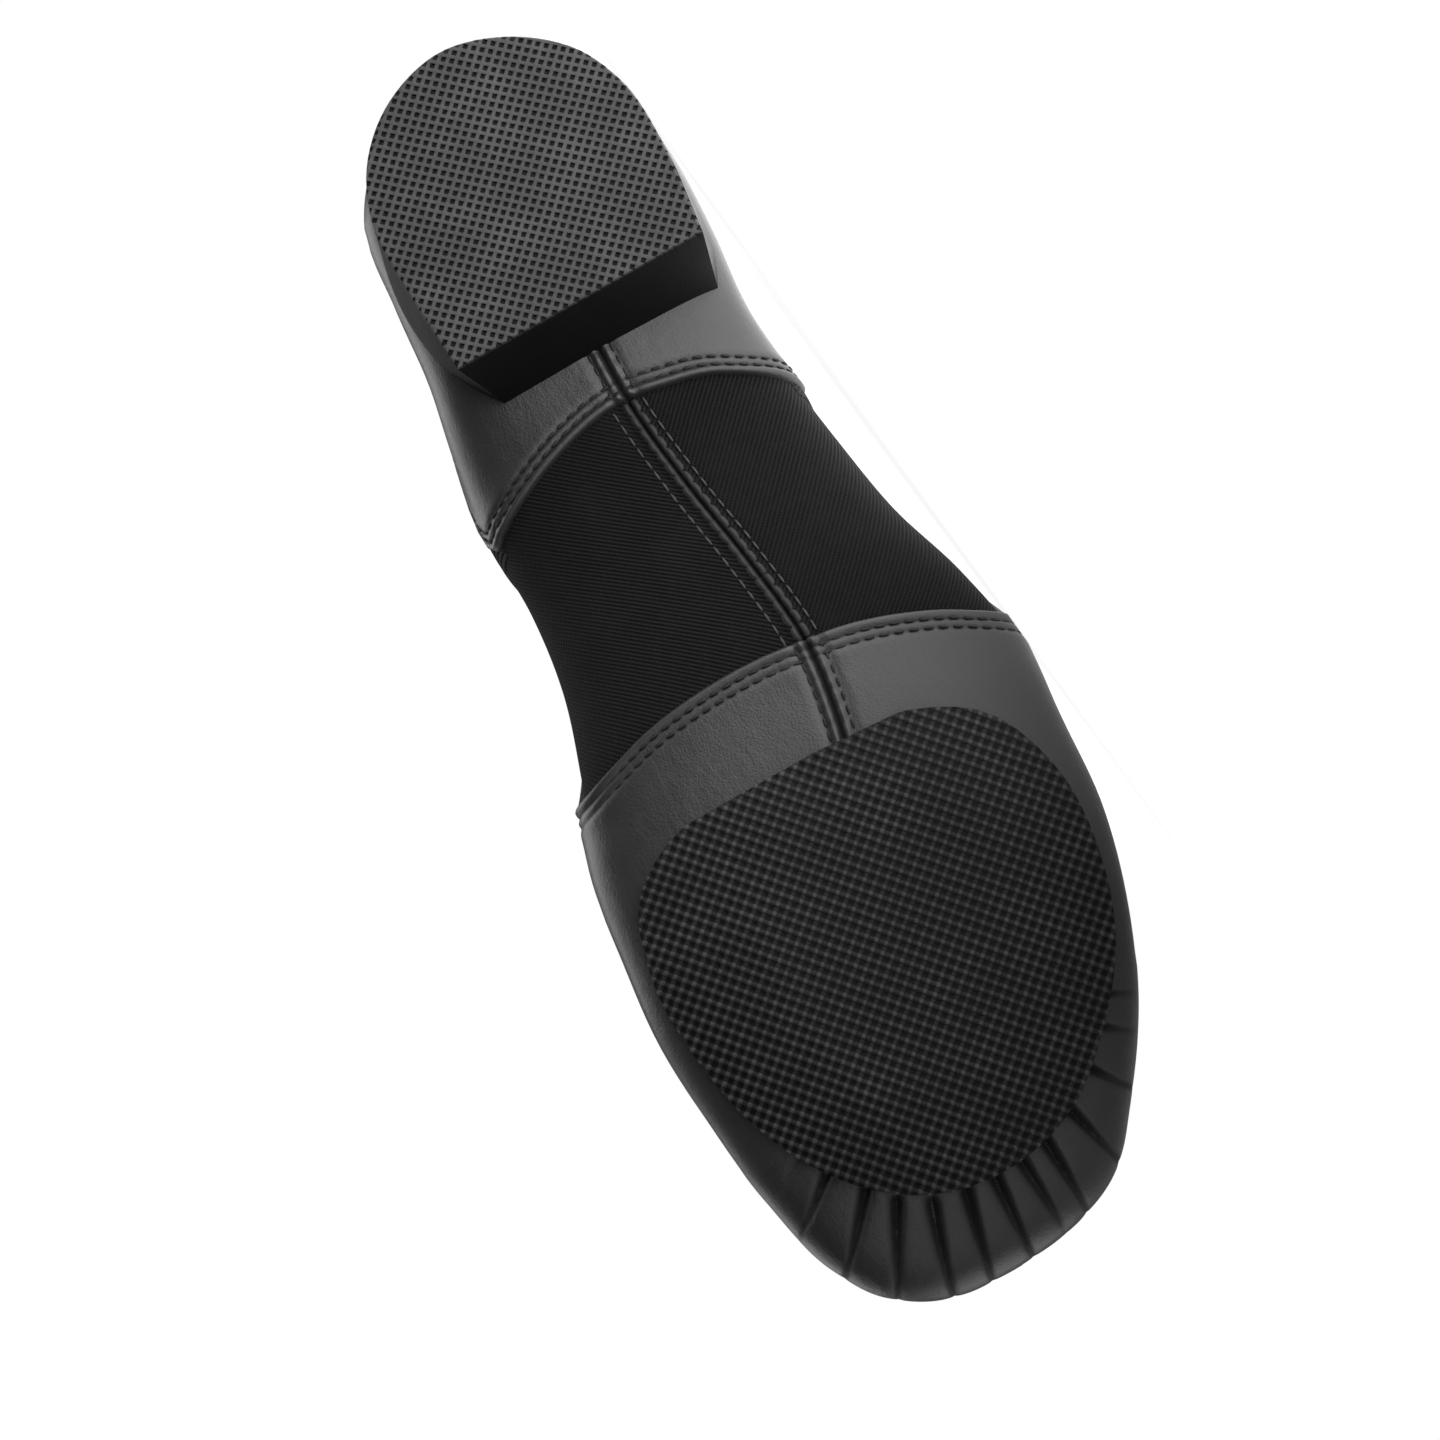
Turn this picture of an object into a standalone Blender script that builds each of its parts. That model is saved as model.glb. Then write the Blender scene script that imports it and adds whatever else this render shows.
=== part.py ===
"""Slip-on jazz shoe for the right foot, with a split sole, lying on its outer side.

Metres, +Z up. The shoe is worked out as it would stand: +X to the toe, +Y to the inner side of the
foot, the ground at Z = 0 and the back edge of the heel's tread at X = 0. An empty then lays the whole
shoe down on its outer side, with the toe to -X and the sole towards -Y.
"""
import math
from collections import namedtuple

import bmesh
import bpy
import numpy as np
from mathutils import Matrix, Vector
from mathutils.bvhtree import BVHTree

# Driving sizes of the last, which is the inside of the upper
LAST_LENGTH = 0.2474
BALL_WIDTH = 0.089
HEEL_WIDTH = 0.058
INSTEP_HEIGHT = 0.078
COLLAR_BACK_HEIGHT = 0.066
COLLAR_SIDE_HEIGHT = 0.056
HEEL_OVERHANG = 0.0018

# Walls and soles
LEATHER = 0.0022
CLOTH = 0.0012
HEEL_HEIGHT = 0.0145
HEEL_LENGTH = 0.0558
BREAST_SLANT = 0.0052
TREAD_CHAMFER = 0.0006
SOLE_THICKNESS = 0.0021
SOLE_EDGE = 0.0014
INSOLE_THICKNESS = 0.002
CLEARANCE = 0.0003
CURVED_REACH = 0.001
WELD = 0.00002

# Places along the last, as shares of its length
HEEL_CENTRE = 0.12
HEEL_EASE = 0.05
TOE_CENTRE = 0.80
TOE_EASE = 0.06
COLLAR_LOWEST = 0.2
WIDEN_START = 0.3
WIDEN_SPAN = 0.3
THROAT = 0.41
SOLE_CENTRE = 0.767

# The sides of the foot's outline seen from below: half widths as shares of the width there
Outline = namedtuple("Outline", "along inner outer")
OUTLINE = [Outline(*row) for row in (
    (0.000, 0.000, 0.000),
    (0.0275, 0.371, 0.371),
    (0.063, 0.474, 0.462),
    (0.131, 0.516, 0.502),
    (0.200, 0.540, 0.494),
    (0.268, 0.595, 0.469),
    (0.335, 0.622, 0.483),
    (0.398, 0.555, 0.465),
    (0.472, 0.498, 0.432),
    (0.541, 0.496, 0.437),
    (0.6135, 0.543, 0.448),
    (0.678, 0.565, 0.431),
    (0.747, 0.580, 0.4135),
    (0.812, 0.567, 0.365),
    (0.880, 0.535, 0.283),
    (0.945, 0.484, 0.158),
    (0.975, 0.427, 0.084),
    (0.993, 0.348, -0.022),
    (1.000, 0.170, -0.170),
)]

# Lines along the foot: the seam under it and the ridge over it as shares of the ball width, the
# underside as a share of the rise to the heel seat, the widest line and the ridge as shares of the
# instep height, and how square the section is below and above its widest line
Profile = namedtuple("Profile", "along seam ridge_side underside widest ridge square_low square_high")
PROFILE = [Profile(*row) for row in (
    (0.00, 0.000, 0.000, 1.000, 0.40, 1.42, 4.4, 2.0),
    (0.12, 0.000, 0.000, 1.000, 0.39, 1.42, 4.4, 2.0),
    (0.22, 0.005, 0.000, 1.000, 0.38, 1.32, 4.2, 2.0),
    (0.30, 0.008, 0.005, 1.080, 0.39, 1.16, 3.2, 2.0),
    (0.38, -0.015, 0.010, 0.980, 0.40, 1.03, 2.6, 2.0),
    (0.46, -0.048, 0.015, 0.640, 0.36, 0.93, 2.5, 2.0),
    (0.54, -0.067, 0.025, 0.280, 0.27, 0.82, 2.6, 2.0),
    (0.61, -0.040, 0.035, 0.080, 0.21, 0.70, 2.9, 2.05),
    (0.70, 0.034, 0.060, 0.000, 0.185, 0.57, 3.1, 2.1),
    (0.80, 0.090, 0.090, 0.000, 0.19, 0.48, 3.1, 2.2),
    (0.90, 0.090, 0.090, 0.000, 0.20, 0.48, 3.0, 2.3),
    (1.00, 0.090, 0.090, 0.000, 0.21, 0.48, 2.8, 2.4),
)]

# Edges of the leathers along the foot, from the seam underneath (turn 0) past the widest line (1)
# to the collar or the ridge (2), for the inner and the outer side
Edge = namedtuple("Edge", "turn quarter_inner quarter_outer vamp_inner vamp_outer throat")
EDGES = [Edge(*row) for row in (
    (0.00, 0.298, 0.298, 0.536, 0.536, 0.62),
    (0.20, 0.302, 0.304, 0.531, 0.541, 0.615),
    (0.45, 0.314, 0.313, 0.532, 0.553, 0.61),
    (0.65, 0.328, 0.328, 0.539, 0.567, 0.605),
    (0.80, 0.340, 0.339, 0.551, 0.581, 0.60),
    (0.88, 0.344, 0.344, 0.558, 0.588, 0.60),
    (1.00, 0.275, 0.350, 0.560, 0.592, 0.60),
    (1.30, 0.245, 0.262, 0.480, 0.490, 0.54),
    (1.65, 0.225, 0.225, 0.408, 0.410, 0.445),
    (2.00, 0.210, 0.210, 0.378, 0.378, THROAT),
)]

# Folds of the gathered toe: direction from the toe's centre in degrees, inner side positive, where
# each starts and ends on the turn from underneath to the ridge, and its depth as a share of the leather
Pleat = namedtuple("Pleat", "direction start end depth")
PLEATS = [Pleat(*row) for row in (
    (54.0, 0.80, 1.02, 0.40),
    (42.5, 0.80, 1.15, 0.50),
    (33.0, 0.80, 1.22, 0.55),
    (23.5, 0.80, 1.25, 0.55),
    (15.0, 0.80, 1.28, 0.50),
    (5.6, 0.80, 1.22, 0.55),
    (-3.0, 0.80, 1.05, 0.40),
    (-12.0, 0.80, 1.25, 0.55),
    (-23.0, 0.80, 1.20, 0.55),
    (-37.0, 0.80, 1.10, 0.55),
    (-50.5, 0.80, 1.02, 0.45),
)]
PLEAT_HALF_ANGLE = 2.4
PLEAT_FADE = 0.1
PLEAT_FLANK = 0.15

# Tread outlines, as shares of the last's length and of the ball or heel width
Place = namedtuple("Place", "along across")
SOLE_OUTLINE = [Place(*row) for row in (
    (0.614, 0.056),
    (0.621, -0.180),
    (0.648, -0.309),
    (0.707, -0.382),
    (0.775, -0.376),
    (0.836, -0.318),
    (0.889, -0.202),
    (0.925, -0.079),
    (0.942, 0.090),
    (0.933, 0.247),
    (0.897, 0.388),
    (0.840, 0.489),
    (0.771, 0.539),
    (0.698, 0.542),
    (0.646, 0.489),
    (0.620, 0.382),
    (0.612, 0.225),
)]
HEEL_SEAT = [Place(*row) for row in (
    (1.000, 0.370),
    (0.900, 0.440),
    (0.780, 0.496),
    (0.620, 0.524),
    (0.430, 0.512),
    (0.260, 0.455),
    (0.130, 0.360),
    (0.020, 0.200),
    (-0.020, 0.000),
    (0.020, -0.200),
    (0.130, -0.360),
    (0.260, -0.445),
    (0.430, -0.494),
    (0.620, -0.508),
    (0.780, -0.500),
    (0.900, -0.480),
    (1.000, -0.435),
)]
HEEL_TREAD = [Place(*row) for row in (
    (1.000, 0.440),
    (0.680, 0.460),
    (0.410, 0.455),
    (0.230, 0.385),
    (0.090, 0.255),
    (0.000, 0.000),
    (0.090, -0.255),
    (0.230, -0.400),
    (0.410, -0.474),
    (0.680, -0.488),
    (1.000, -0.457),
)]

# Turns at which the section is cut, and how many strips lie between the marks along the foot
TURNS = (0.0, 0.18, 0.34, 0.48, 0.59, 0.70, 0.79, 0.88, 1.0, 1.14, 1.3, 1.47, 1.65, 1.83, 2.0)
HEEL_STRIPS = 7
MIDDLE_STRIPS = (4, 1, 7, 1, 3, 6)
ARCH_PART = 2
ARCH_END_PART = 3
STEP_WIDTH = 0.0006
INSOLE_TURNS = 6
SIDES = (("inner", 1.0), ("outer", -1.0))

# Rings of the sole and the heel, as shares of the way out from the middle, and points round them
SOLE_RINGS = (0.0, 0.22, 0.42, 0.6, 0.74, 0.85, 0.93, 1.0)
SOLE_POINTS = 56
EDGE_POWER = 6
TREAD_RINGS = (0.0, 0.5)
SEAT_RINGS = (0.0, 0.3, 0.55, 0.72, 0.82, 0.89, 0.95, 1.0)
HEEL_MIDDLE = 0.55
ROUND_POINTS = 40
FRONT_POINTS = 6

# Fineness of the curves, and how far sideways a face has to look to be one that the shoe can lie on
ARC_POINTS = 61
STATION_COUNT = 401
STATION_TOLERANCE = 0.001
LYING_LOOK = -0.5

# Colours and roughness
LEATHER_FINISH = ((0.012, 0.012, 0.013), 0.5)
INSOLE_FINISH = ((0.03, 0.03, 0.03), 0.85)
RUBBER_FINISH = ((0.014, 0.014, 0.014), 0.62)


class Curve:
    """Smooth curve through values, numbers or points, at rising knots."""

    def __init__(self, knots, values):
        self.knots = np.asarray(knots, float)
        self.values = np.asarray(values, float)
        self.slopes = np.gradient(self.values, self.knots, axis=0)

    def at(self, place):
        """Value at one place, held at the ends."""
        knots, values, slopes = self.knots, self.values, self.slopes
        place = min(max(place, knots[0]), knots[-1])
        k = min(int(np.searchsorted(knots, place, side="right")), len(knots) - 1) - 1
        span = knots[k + 1] - knots[k]
        t = (place - knots[k]) / span
        start = (1 + 2 * t) * (1 - t) ** 2 * values[k] + t * (1 - t) ** 2 * span * slopes[k]
        end = t * t * (3 - 2 * t) * values[k + 1] + t * t * (t - 1) * span * slopes[k + 1]
        return start + end


def table_curves(table):
    """Curve of each named column of a table, along its first column."""
    knots = [row[0] for row in table]
    return {name: Curve(knots, [getattr(row, name) for row in table]) for name in table[0]._fields[1:]}


PROFILE_CURVES = table_curves(PROFILE)
EDGE_CURVES = table_curves(EDGES)


def profile(name, along):
    """Read a column of the profile table at a share of the last's length."""
    return PROFILE_CURVES[name].at(along)


def blend(t):
    """Ease from 0 to 1."""
    t = min(max(t, 0.0), 1.0)
    return t * t * (3 - 2 * t)


def place_x(along):
    """Turn a share of the last's length into X."""
    return along * LAST_LENGTH - HEEL_OVERHANG


def width_at(along):
    """Go over from the heel's width to the ball's."""
    return HEEL_WIDTH + (BALL_WIDTH - HEEL_WIDTH) * blend((along - WIDEN_START) / WIDEN_SPAN)


def side_outline(side):
    """Curve of one side of the outline, from 0 at the heel's back to 1 at the toe's tip.

    One spare point of the other side past each end carries it round smoothly.
    """
    other = "outer" if side == "inner" else "inner"
    signs = dict(SIDES)

    def point(row, name):
        return place_x(row.along), signs[name] * getattr(row, name) * width_at(row.along)

    points = [point(OUTLINE[1], other)]
    points += [point(row, side) for row in OUTLINE]
    points.append(point(OUTLINE[-2], other))
    points = np.array(points)
    knots = np.concatenate([[0.0], np.cumsum(np.linalg.norm(np.diff(points, axis=0), axis=1))])
    return Curve((knots - knots[1]) / (knots[-2] - knots[1]), points)


OUTLINES = {side: side_outline(side) for side, sign in SIDES}
STATIONS = np.linspace(0, 1, STATION_COUNT)
STATION_POINTS = {side: np.array([OUTLINES[side].at(s) for s in STATIONS]) for side, sign in SIDES}


def spine_share(along):
    """Place of a section's middle: it follows the outline, and stays put round heel and toe."""
    if along < HEEL_CENTRE + HEEL_EASE:
        along = max(along, HEEL_CENTRE - HEEL_EASE)
        return along + (HEEL_CENTRE + HEEL_EASE - along) ** 2 / (4 * HEEL_EASE)
    if along > TOE_CENTRE - TOE_EASE:
        along = min(along, TOE_CENTRE + TOE_EASE)
        return along - (along - TOE_CENTRE + TOE_EASE) ** 2 / (4 * TOE_EASE)
    return along


def collar_height(along):
    """Height of the collar's edge: low at the ankle, up to the ridge at the throat."""
    throat_height = INSTEP_HEIGHT * profile("ridge", THROAT)
    if along < COLLAR_LOWEST:
        drop = blend(along / COLLAR_LOWEST)
        return COLLAR_BACK_HEIGHT + (COLLAR_SIDE_HEIGHT - COLLAR_BACK_HEIGHT) * drop
    rise = (along - COLLAR_LOWEST) / (THROAT - COLLAR_LOWEST)
    return COLLAR_SIDE_HEIGHT + (throat_height - COLLAR_SIDE_HEIGHT) * rise ** 2


def superellipse(angles, square):
    """Quarter of a superellipse, going from 0 to 1 outward and from 1 to 0 in height."""
    return np.sin(angles) ** (2 / square), np.cos(angles) ** (2 / square)


def last_point(side, station, turn):
    """Point of the last at a station round the outline and a turn from underneath (0) to the top (2)."""
    edge = OUTLINES[side].at(station)
    along = (edge[0] + HEEL_OVERHANG) / LAST_LENGTH
    middle = spine_share(along)
    widest = INSTEP_HEIGHT * profile("widest", along)
    start_angle = 0.0
    if turn <= 1:
        seat = HEEL_HEIGHT + CLEARANCE + LEATHER
        base = SOLE_THICKNESS + CLEARANCE + LEATHER
        end = base + (seat - base) * profile("underside", middle)
        hub = (place_x(middle), BALL_WIDTH * profile("seam", middle))
        square = profile("square_low", along)
        share = turn
    else:
        end = INSTEP_HEIGHT * profile("ridge", middle)
        hub = (place_x(middle), BALL_WIDTH * profile("ridge_side", middle))
        square = profile("square_high", along)
        share = 2 - turn
        if along < THROAT - STATION_TOLERANCE:
            rise = (collar_height(along) - widest) / (end - widest)
            start_angle = math.acos(min(1.0, rise) ** (square / 2))
    reach = math.hypot(edge[0] - hub[0], edge[1] - hub[1])
    outward, upward = superellipse(np.linspace(start_angle, math.pi / 2, ARC_POINTS), square)
    out = reach * outward
    height = widest + (end - widest) * upward
    lengths = np.concatenate([[0.0], np.cumsum(np.hypot(np.diff(out), np.diff(height)))])
    out_here = np.interp(share * lengths[-1], lengths, out) / reach
    height_here = np.interp(share * lengths[-1], lengths, height)
    x = hub[0] + (edge[0] - hub[0]) * out_here
    y = hub[1] + (edge[1] - hub[1]) * out_here
    return x, y, height_here


def station_of(side, along):
    """Station on a side's outline at a share of the last's length."""
    return float(np.interp(place_x(along), STATION_POINTS[side][:, 0], STATIONS))


def station_towards(side, direction):
    """Station on the toe's outline in a direction from the toe's centre, in degrees."""
    hub = np.array((place_x(TOE_CENTRE), BALL_WIDTH * profile("seam", TOE_CENTRE)))
    toe = STATIONS >= station_of(side, TOE_CENTRE)
    away = STATION_POINTS[side][toe] - hub
    angles = np.degrees(np.arctan2(away[:, 1], away[:, 0]))
    order = np.argsort(angles)
    return float(np.interp(direction, angles[order], STATIONS[toe][order]))


def pleat_depth(pleat, turn):
    """Depth of a fold at a turn, fading out at both of its ends."""
    start = blend((turn - pleat.start) / PLEAT_FADE + 1)
    end = blend((pleat.end - turn) / PLEAT_FADE + 1)
    return pleat.depth * start * end


def middle_marks(side, turn):
    """Shares along the foot of the edges that the strips follow, at one turn."""
    step = STEP_WIDTH / LAST_LENGTH
    quarter = EDGE_CURVES["quarter_" + side].at(turn)
    vamp = EDGE_CURVES["vamp_" + side].at(turn)
    throat = EDGE_CURVES["throat"].at(turn)
    start = HEEL_CENTRE - HEEL_EASE
    return start, quarter, quarter + step, vamp - step, vamp, throat, TOE_CENTRE + TOE_EASE


def side_strips(side):
    """Columns of one side from heel to toe: a station for each turn, and the wall's share of leather."""
    strips = []
    full_walls = [1.0] * len(TURNS)
    start = station_of(side, HEEL_CENTRE - HEEL_EASE)
    for k in range(HEEL_STRIPS):
        strips.append(([start * k / HEEL_STRIPS] * len(TURNS), full_walls))

    marks = [middle_marks(side, turn) for turn in TURNS]
    thin_walls = [CLOTH / LEATHER] * len(TURNS)
    for part, count in enumerate(MIDDLE_STRIPS):
        for k in range(count):
            shares = [m[part] + (m[part + 1] - m[part]) * k / count for m in marks]
            stations = [station_of(side, share) for share in shares]
            in_cloth = part == ARCH_PART or (part == ARCH_END_PART and k == 0)
            strips.append((stations, thin_walls if in_cloth else full_walls))

    sign = dict(SIDES)[side]
    first = station_of(side, TOE_CENTRE + TOE_EASE)
    tip = OUTLINES[side].at(1.0)
    hub = (place_x(TOE_CENTRE), BALL_WIDTH * profile("seam", TOE_CENTRE))
    tip_direction = math.degrees(math.atan2(tip[1] - hub[1], tip[0] - hub[0]))
    mine = sorted((p for p in PLEATS if (p.direction - tip_direction) * sign > 0),
                  key=lambda p: -p.direction * sign)
    strips.append(([first] * len(TURNS), full_walls))
    previous = None
    for pleat in mine:
        if previous is not None:
            ridge = (previous.direction + pleat.direction) / 2
            strips.append(([station_towards(side, ridge)] * len(TURNS), full_walls))
        for offset, share in ((1, PLEAT_FLANK), (0, 1.0), (-1, PLEAT_FLANK)):
            station = station_towards(side, pleat.direction + sign * offset * PLEAT_HALF_ANGLE)
            walls = [1.0 - share * pleat_depth(pleat, turn) for turn in TURNS]
            strips.append(([station] * len(TURNS), walls))
        previous = pleat
    strips.append(([1.0] * len(TURNS), full_walls))
    return strips


def new_material(name, finish):
    """Principled material of a plain colour."""
    colour, roughness = finish
    material = bpy.data.materials.new(name)
    material.use_nodes = True
    shader = material.node_tree.nodes["Principled BSDF"]
    shader.inputs["Base Color"].default_value = (*colour, 1.0)
    shader.inputs["Roughness"].default_value = roughness
    shader.inputs["Metallic"].default_value = 0.0
    return material


def add_part(name, mesh, material, collection, parent):
    """Put a mesh into the part's collection, under the empty that lays the shoe down."""
    piece = bpy.data.objects.new(name, mesh)
    piece.data.materials.append(material)
    piece.parent = parent
    collection.objects.link(piece)
    return piece


def last_grid(turn_count):
    """Open surface of the last up to a turn, with each point's share of the leather's thickness."""
    bm = bmesh.new()
    layer = bm.verts.layers.float.new("wall")
    for side, sign in SIDES:
        rows = []
        for stations, walls in side_strips(side):
            verts = []
            for k in range(turn_count):
                vert = bm.verts.new(last_point(side, stations[k], TURNS[k]))
                vert[layer] = walls[k]
                verts.append(vert)
            rows.append(verts)
        for here, there in zip(rows, rows[1:]):
            for k in range(turn_count - 1):
                corners = (here[k], there[k], there[k + 1], here[k + 1])
                bm.faces.new(corners if sign < 0 else corners[::-1])
    bmesh.ops.remove_doubles(bm, verts=bm.verts, dist=WELD)
    bmesh.ops.dissolve_degenerate(bm, edges=bm.edges, dist=WELD / 2)
    bmesh.ops.triangulate(bm, faces=bm.faces)
    return bm


def build_upper(collection, parent):
    """Shell of leather and stretch cloth, open at the collar, thicker where it is leather."""
    bm = last_grid(len(TURNS))
    layer = bm.verts.layers.float["wall"]
    walls = [vert[layer] for vert in bm.verts]
    mesh = bpy.data.meshes.new("upper")
    bm.to_mesh(mesh)
    bm.free()
    upper = add_part("upper", mesh, new_material("upper", LEATHER_FINISH), collection, parent)
    group = upper.vertex_groups.new(name="wall")
    for k, wall in enumerate(walls):
        group.add([k], wall, "REPLACE")
    shell = upper.modifiers.new("wall", "SOLIDIFY")
    shell.thickness = LEATHER
    shell.offset = 1.0
    shell.use_even_offset = False
    shell.vertex_group = "wall"
    return upper


def build_insole(collection, parent):
    """Sheet along the inside of the sole, a hair above the upper's bottom."""
    bm = last_grid(INSOLE_TURNS)
    for vert in bm.verts:
        vert.co.z += CLEARANCE
    mesh = bpy.data.meshes.new("insole")
    bm.to_mesh(mesh)
    bm.free()
    insole = add_part("insole", mesh, new_material("insole", INSOLE_FINISH), collection, parent)
    sheet = insole.modifiers.new("sheet", "SOLIDIFY")
    sheet.thickness = INSOLE_THICKNESS
    sheet.offset = -1.0
    sheet.use_even_offset = False
    return insole


def evaluated_mesh(piece):
    """Bmesh of an object with its modifiers, in the standing shoe's own frame."""
    depsgraph = bpy.context.evaluated_depsgraph_get()
    bm = bmesh.new()
    bm.from_mesh(piece.evaluated_get(depsgraph).to_mesh())
    return bm


def under(tree, x, y):
    """Height that stays clear of the upper's underside over a place on the ground and close round it."""
    heights = []
    for across, along in ((0, 0), (1, 0), (-1, 0), (0, 1), (0, -1)):
        start = Vector((x + across * CURVED_REACH, y + along * CURVED_REACH, -HEEL_HEIGHT))
        heights.append(tree.ray_cast(start, Vector((0, 0, 1)))[0].z)
    return min(heights) - CLEARANCE


def closed_curve(points, count):
    """Smooth closed curve through the points, read at evenly spaced places."""
    ring = np.array([*points[-2:], *points, *points[:3]])
    knots = np.concatenate([[0.0], np.cumsum(np.linalg.norm(np.diff(ring, axis=0), axis=1))])
    start, end = knots[2], knots[len(points) + 2]
    curve = Curve(knots, ring)
    return [curve.at(start + (end - start) * k / count) for k in range(count)]


def skin_block(name, low_rings, high_rings):
    """Closed mesh between a stack of rings below and one above; each stack starts at its middle point."""
    bm = bmesh.new()
    count = len(low_rings[-1])

    def cap(rings, flip):
        middle = bm.verts.new(rings[0][0])
        loops = [[bm.verts.new(p) for p in ring] for ring in rings[1:]]
        for k in range(count):
            following = (k + 1) % count
            corners = (middle, loops[0][k], loops[0][following])
            bm.faces.new(corners[::-1] if flip else corners)
            for inside, outside in zip(loops, loops[1:]):
                corners = (inside[k], outside[k], outside[following], inside[following])
                bm.faces.new(corners[::-1] if flip else corners)
        return loops[-1]

    low = cap(low_rings, True)
    high = cap(high_rings, False)
    for k in range(count):
        following = (k + 1) % count
        bm.faces.new((low[k], low[following], high[following], high[k]))
    bmesh.ops.triangulate(bm, faces=bm.faces)
    bmesh.ops.recalc_face_normals(bm, faces=bm.faces)
    mesh = bpy.data.meshes.new(name)
    bm.to_mesh(mesh)
    bm.free()
    return mesh


def shrink(ring, middle, share):
    """Ring drawn towards its middle."""
    return [middle + (np.asarray(p) - middle) * share for p in ring]


def build_forefoot_sole(tree, collection, parent):
    """Thin rubber sole under the ball, domed along the upper, with a flat spot on the ground."""
    points = [(place_x(p.along), p.across * BALL_WIDTH) for p in SOLE_OUTLINE]
    outline = closed_curve(points, SOLE_POINTS)
    middle = np.array((place_x(SOLE_CENTRE), BALL_WIDTH * profile("seam", TOE_CENTRE)))
    lows, highs = [], []
    for share in SOLE_RINGS:
        thickness = SOLE_THICKNESS + (SOLE_EDGE - SOLE_THICKNESS) * share ** EDGE_POWER
        low, high = [], []
        for x, y in shrink(outline, middle, share):
            top = under(tree, x, y)
            high.append((x, y, top))
            low.append((x, y, max(0.0, top - thickness - CLEARANCE)))
        lows.append(low)
        highs.append(high)
    material = new_material("forefoot_sole", RUBBER_FINISH)
    return add_part("forefoot_sole", skin_block("forefoot_sole", lows, highs), material, collection, parent)


def heel_ring(table, length):
    """Outline of the heel at one level: round sides and back from a table, and a straight front."""
    points = np.array([(p.along * length, p.across * HEEL_WIDTH) for p in table])
    knots = np.concatenate([[0.0], np.cumsum(np.linalg.norm(np.diff(points, axis=0), axis=1))])
    curve = Curve(knots, points)
    round_part = [curve.at(knots[-1] * k / ROUND_POINTS) for k in range(ROUND_POINTS + 1)]
    width = round_part[0] - round_part[-1]
    front = [round_part[-1] + width * k / FRONT_POINTS for k in range(1, FRONT_POINTS)]
    return round_part + front


def build_heel(tree, collection, parent):
    """Low rubber heel: flat tread, flared sides, slanted front, top fitted to the heel seat."""
    middle = np.array((HEEL_LENGTH * HEEL_MIDDLE, 0.0))
    tread = heel_ring(HEEL_TREAD, HEEL_LENGTH)
    seat = heel_ring(HEEL_SEAT, HEEL_LENGTH + BREAST_SLANT)
    lows, highs = [], []
    inset = 1 - TREAD_CHAMFER / (HEEL_WIDTH / 2)
    for share in (*TREAD_RINGS, inset):
        lows.append([(x, y, 0.0) for x, y in shrink(tread, middle, share)])
    lows.append([(x, y, TREAD_CHAMFER) for x, y in tread])
    for share in SEAT_RINGS:
        highs.append([(x, y, under(tree, x, y)) for x, y in shrink(seat, middle, share)])
    material = new_material("heel", RUBBER_FINISH)
    return add_part("heel", skin_block("heel", lows, highs), material, collection, parent)


def centre_of_mass(pieces):
    """Middle of the pieces' volume."""
    volume = 0.0
    moment = Vector((0.0, 0.0, 0.0))
    for piece in pieces:
        bm = evaluated_mesh(piece)
        bmesh.ops.triangulate(bm, faces=bm.faces)
        for face in bm.faces:
            a, b, c = (vert.co for vert in face.verts)
            part = a.dot(b.cross(c)) / 6
            volume += part
            moment += (a + b + c) / 4 * part
        bm.free()
    return moment / volume


def margin_within(face, point):
    """How far a point of the face's plane lies within the face, below 0 outside it."""
    verts = [vert.co for vert in face.verts]
    return min((b - a).normalized().cross(point - a).dot(face.normal)
               for a, b in zip(verts, verts[1:] + verts[:1]))


def lying_turn(pieces):
    """Turn that lays the standing shoe on its outer side, on the facet of its hull under its weight."""
    centre = centre_of_mass(pieces)
    cloud = bmesh.new()
    for piece in pieces:
        bm = evaluated_mesh(piece)
        for vert in bm.verts:
            cloud.verts.new(vert.co)
        bm.free()
    hull = bmesh.ops.convex_hull(cloud, input=cloud.verts)
    down, widest_margin = None, None
    for face in (item for item in hull["geom"] if isinstance(item, bmesh.types.BMFace)):
        if face.normal.y > LYING_LOOK:
            continue
        foot = centre + face.normal * (face.verts[0].co - centre).dot(face.normal)
        margin = margin_within(face, foot)
        if down is None or margin > widest_margin:
            down, widest_margin = face.normal.copy(), margin
    cloud.free()
    toe = Vector((1.0, 0.0, 0.0))
    toe = (toe - down * toe.dot(down)).normalized()
    return Matrix((-toe, down.cross(toe), -down)).to_4x4()


def lay_down(pieces, parent):
    """Lay the shoe on its outer side and put the middle of its bounding box over the origin."""
    turn = lying_turn(pieces)
    corners = []
    for piece in pieces:
        bm = evaluated_mesh(piece)
        corners += [turn @ vert.co for vert in bm.verts]
        bm.free()
    lowest = [min(c[axis] for c in corners) for axis in range(3)]
    highest = [max(c[axis] for c in corners) for axis in range(3)]
    middle = Vector(((lowest[0] + highest[0]) / 2, (lowest[1] + highest[1]) / 2, lowest[2]))
    parent.matrix_world = Matrix.Translation(-middle) @ turn


def main():
    """Make the shoe."""
    for item in list(bpy.data.objects):
        bpy.data.objects.remove(item)
    collection = bpy.data.collections.new("jazz_shoe")
    bpy.context.scene.collection.children.link(collection)
    parent = bpy.data.objects.new("shoe_pose", None)
    collection.objects.link(parent)

    upper = build_upper(collection, parent)
    insole = build_insole(collection, parent)
    bm = evaluated_mesh(upper)
    tree = BVHTree.FromBMesh(bm)
    bm.free()
    sole = build_forefoot_sole(tree, collection, parent)
    heel = build_heel(tree, collection, parent)
    lay_down([upper, insole, sole, heel], parent)


main()
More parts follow.
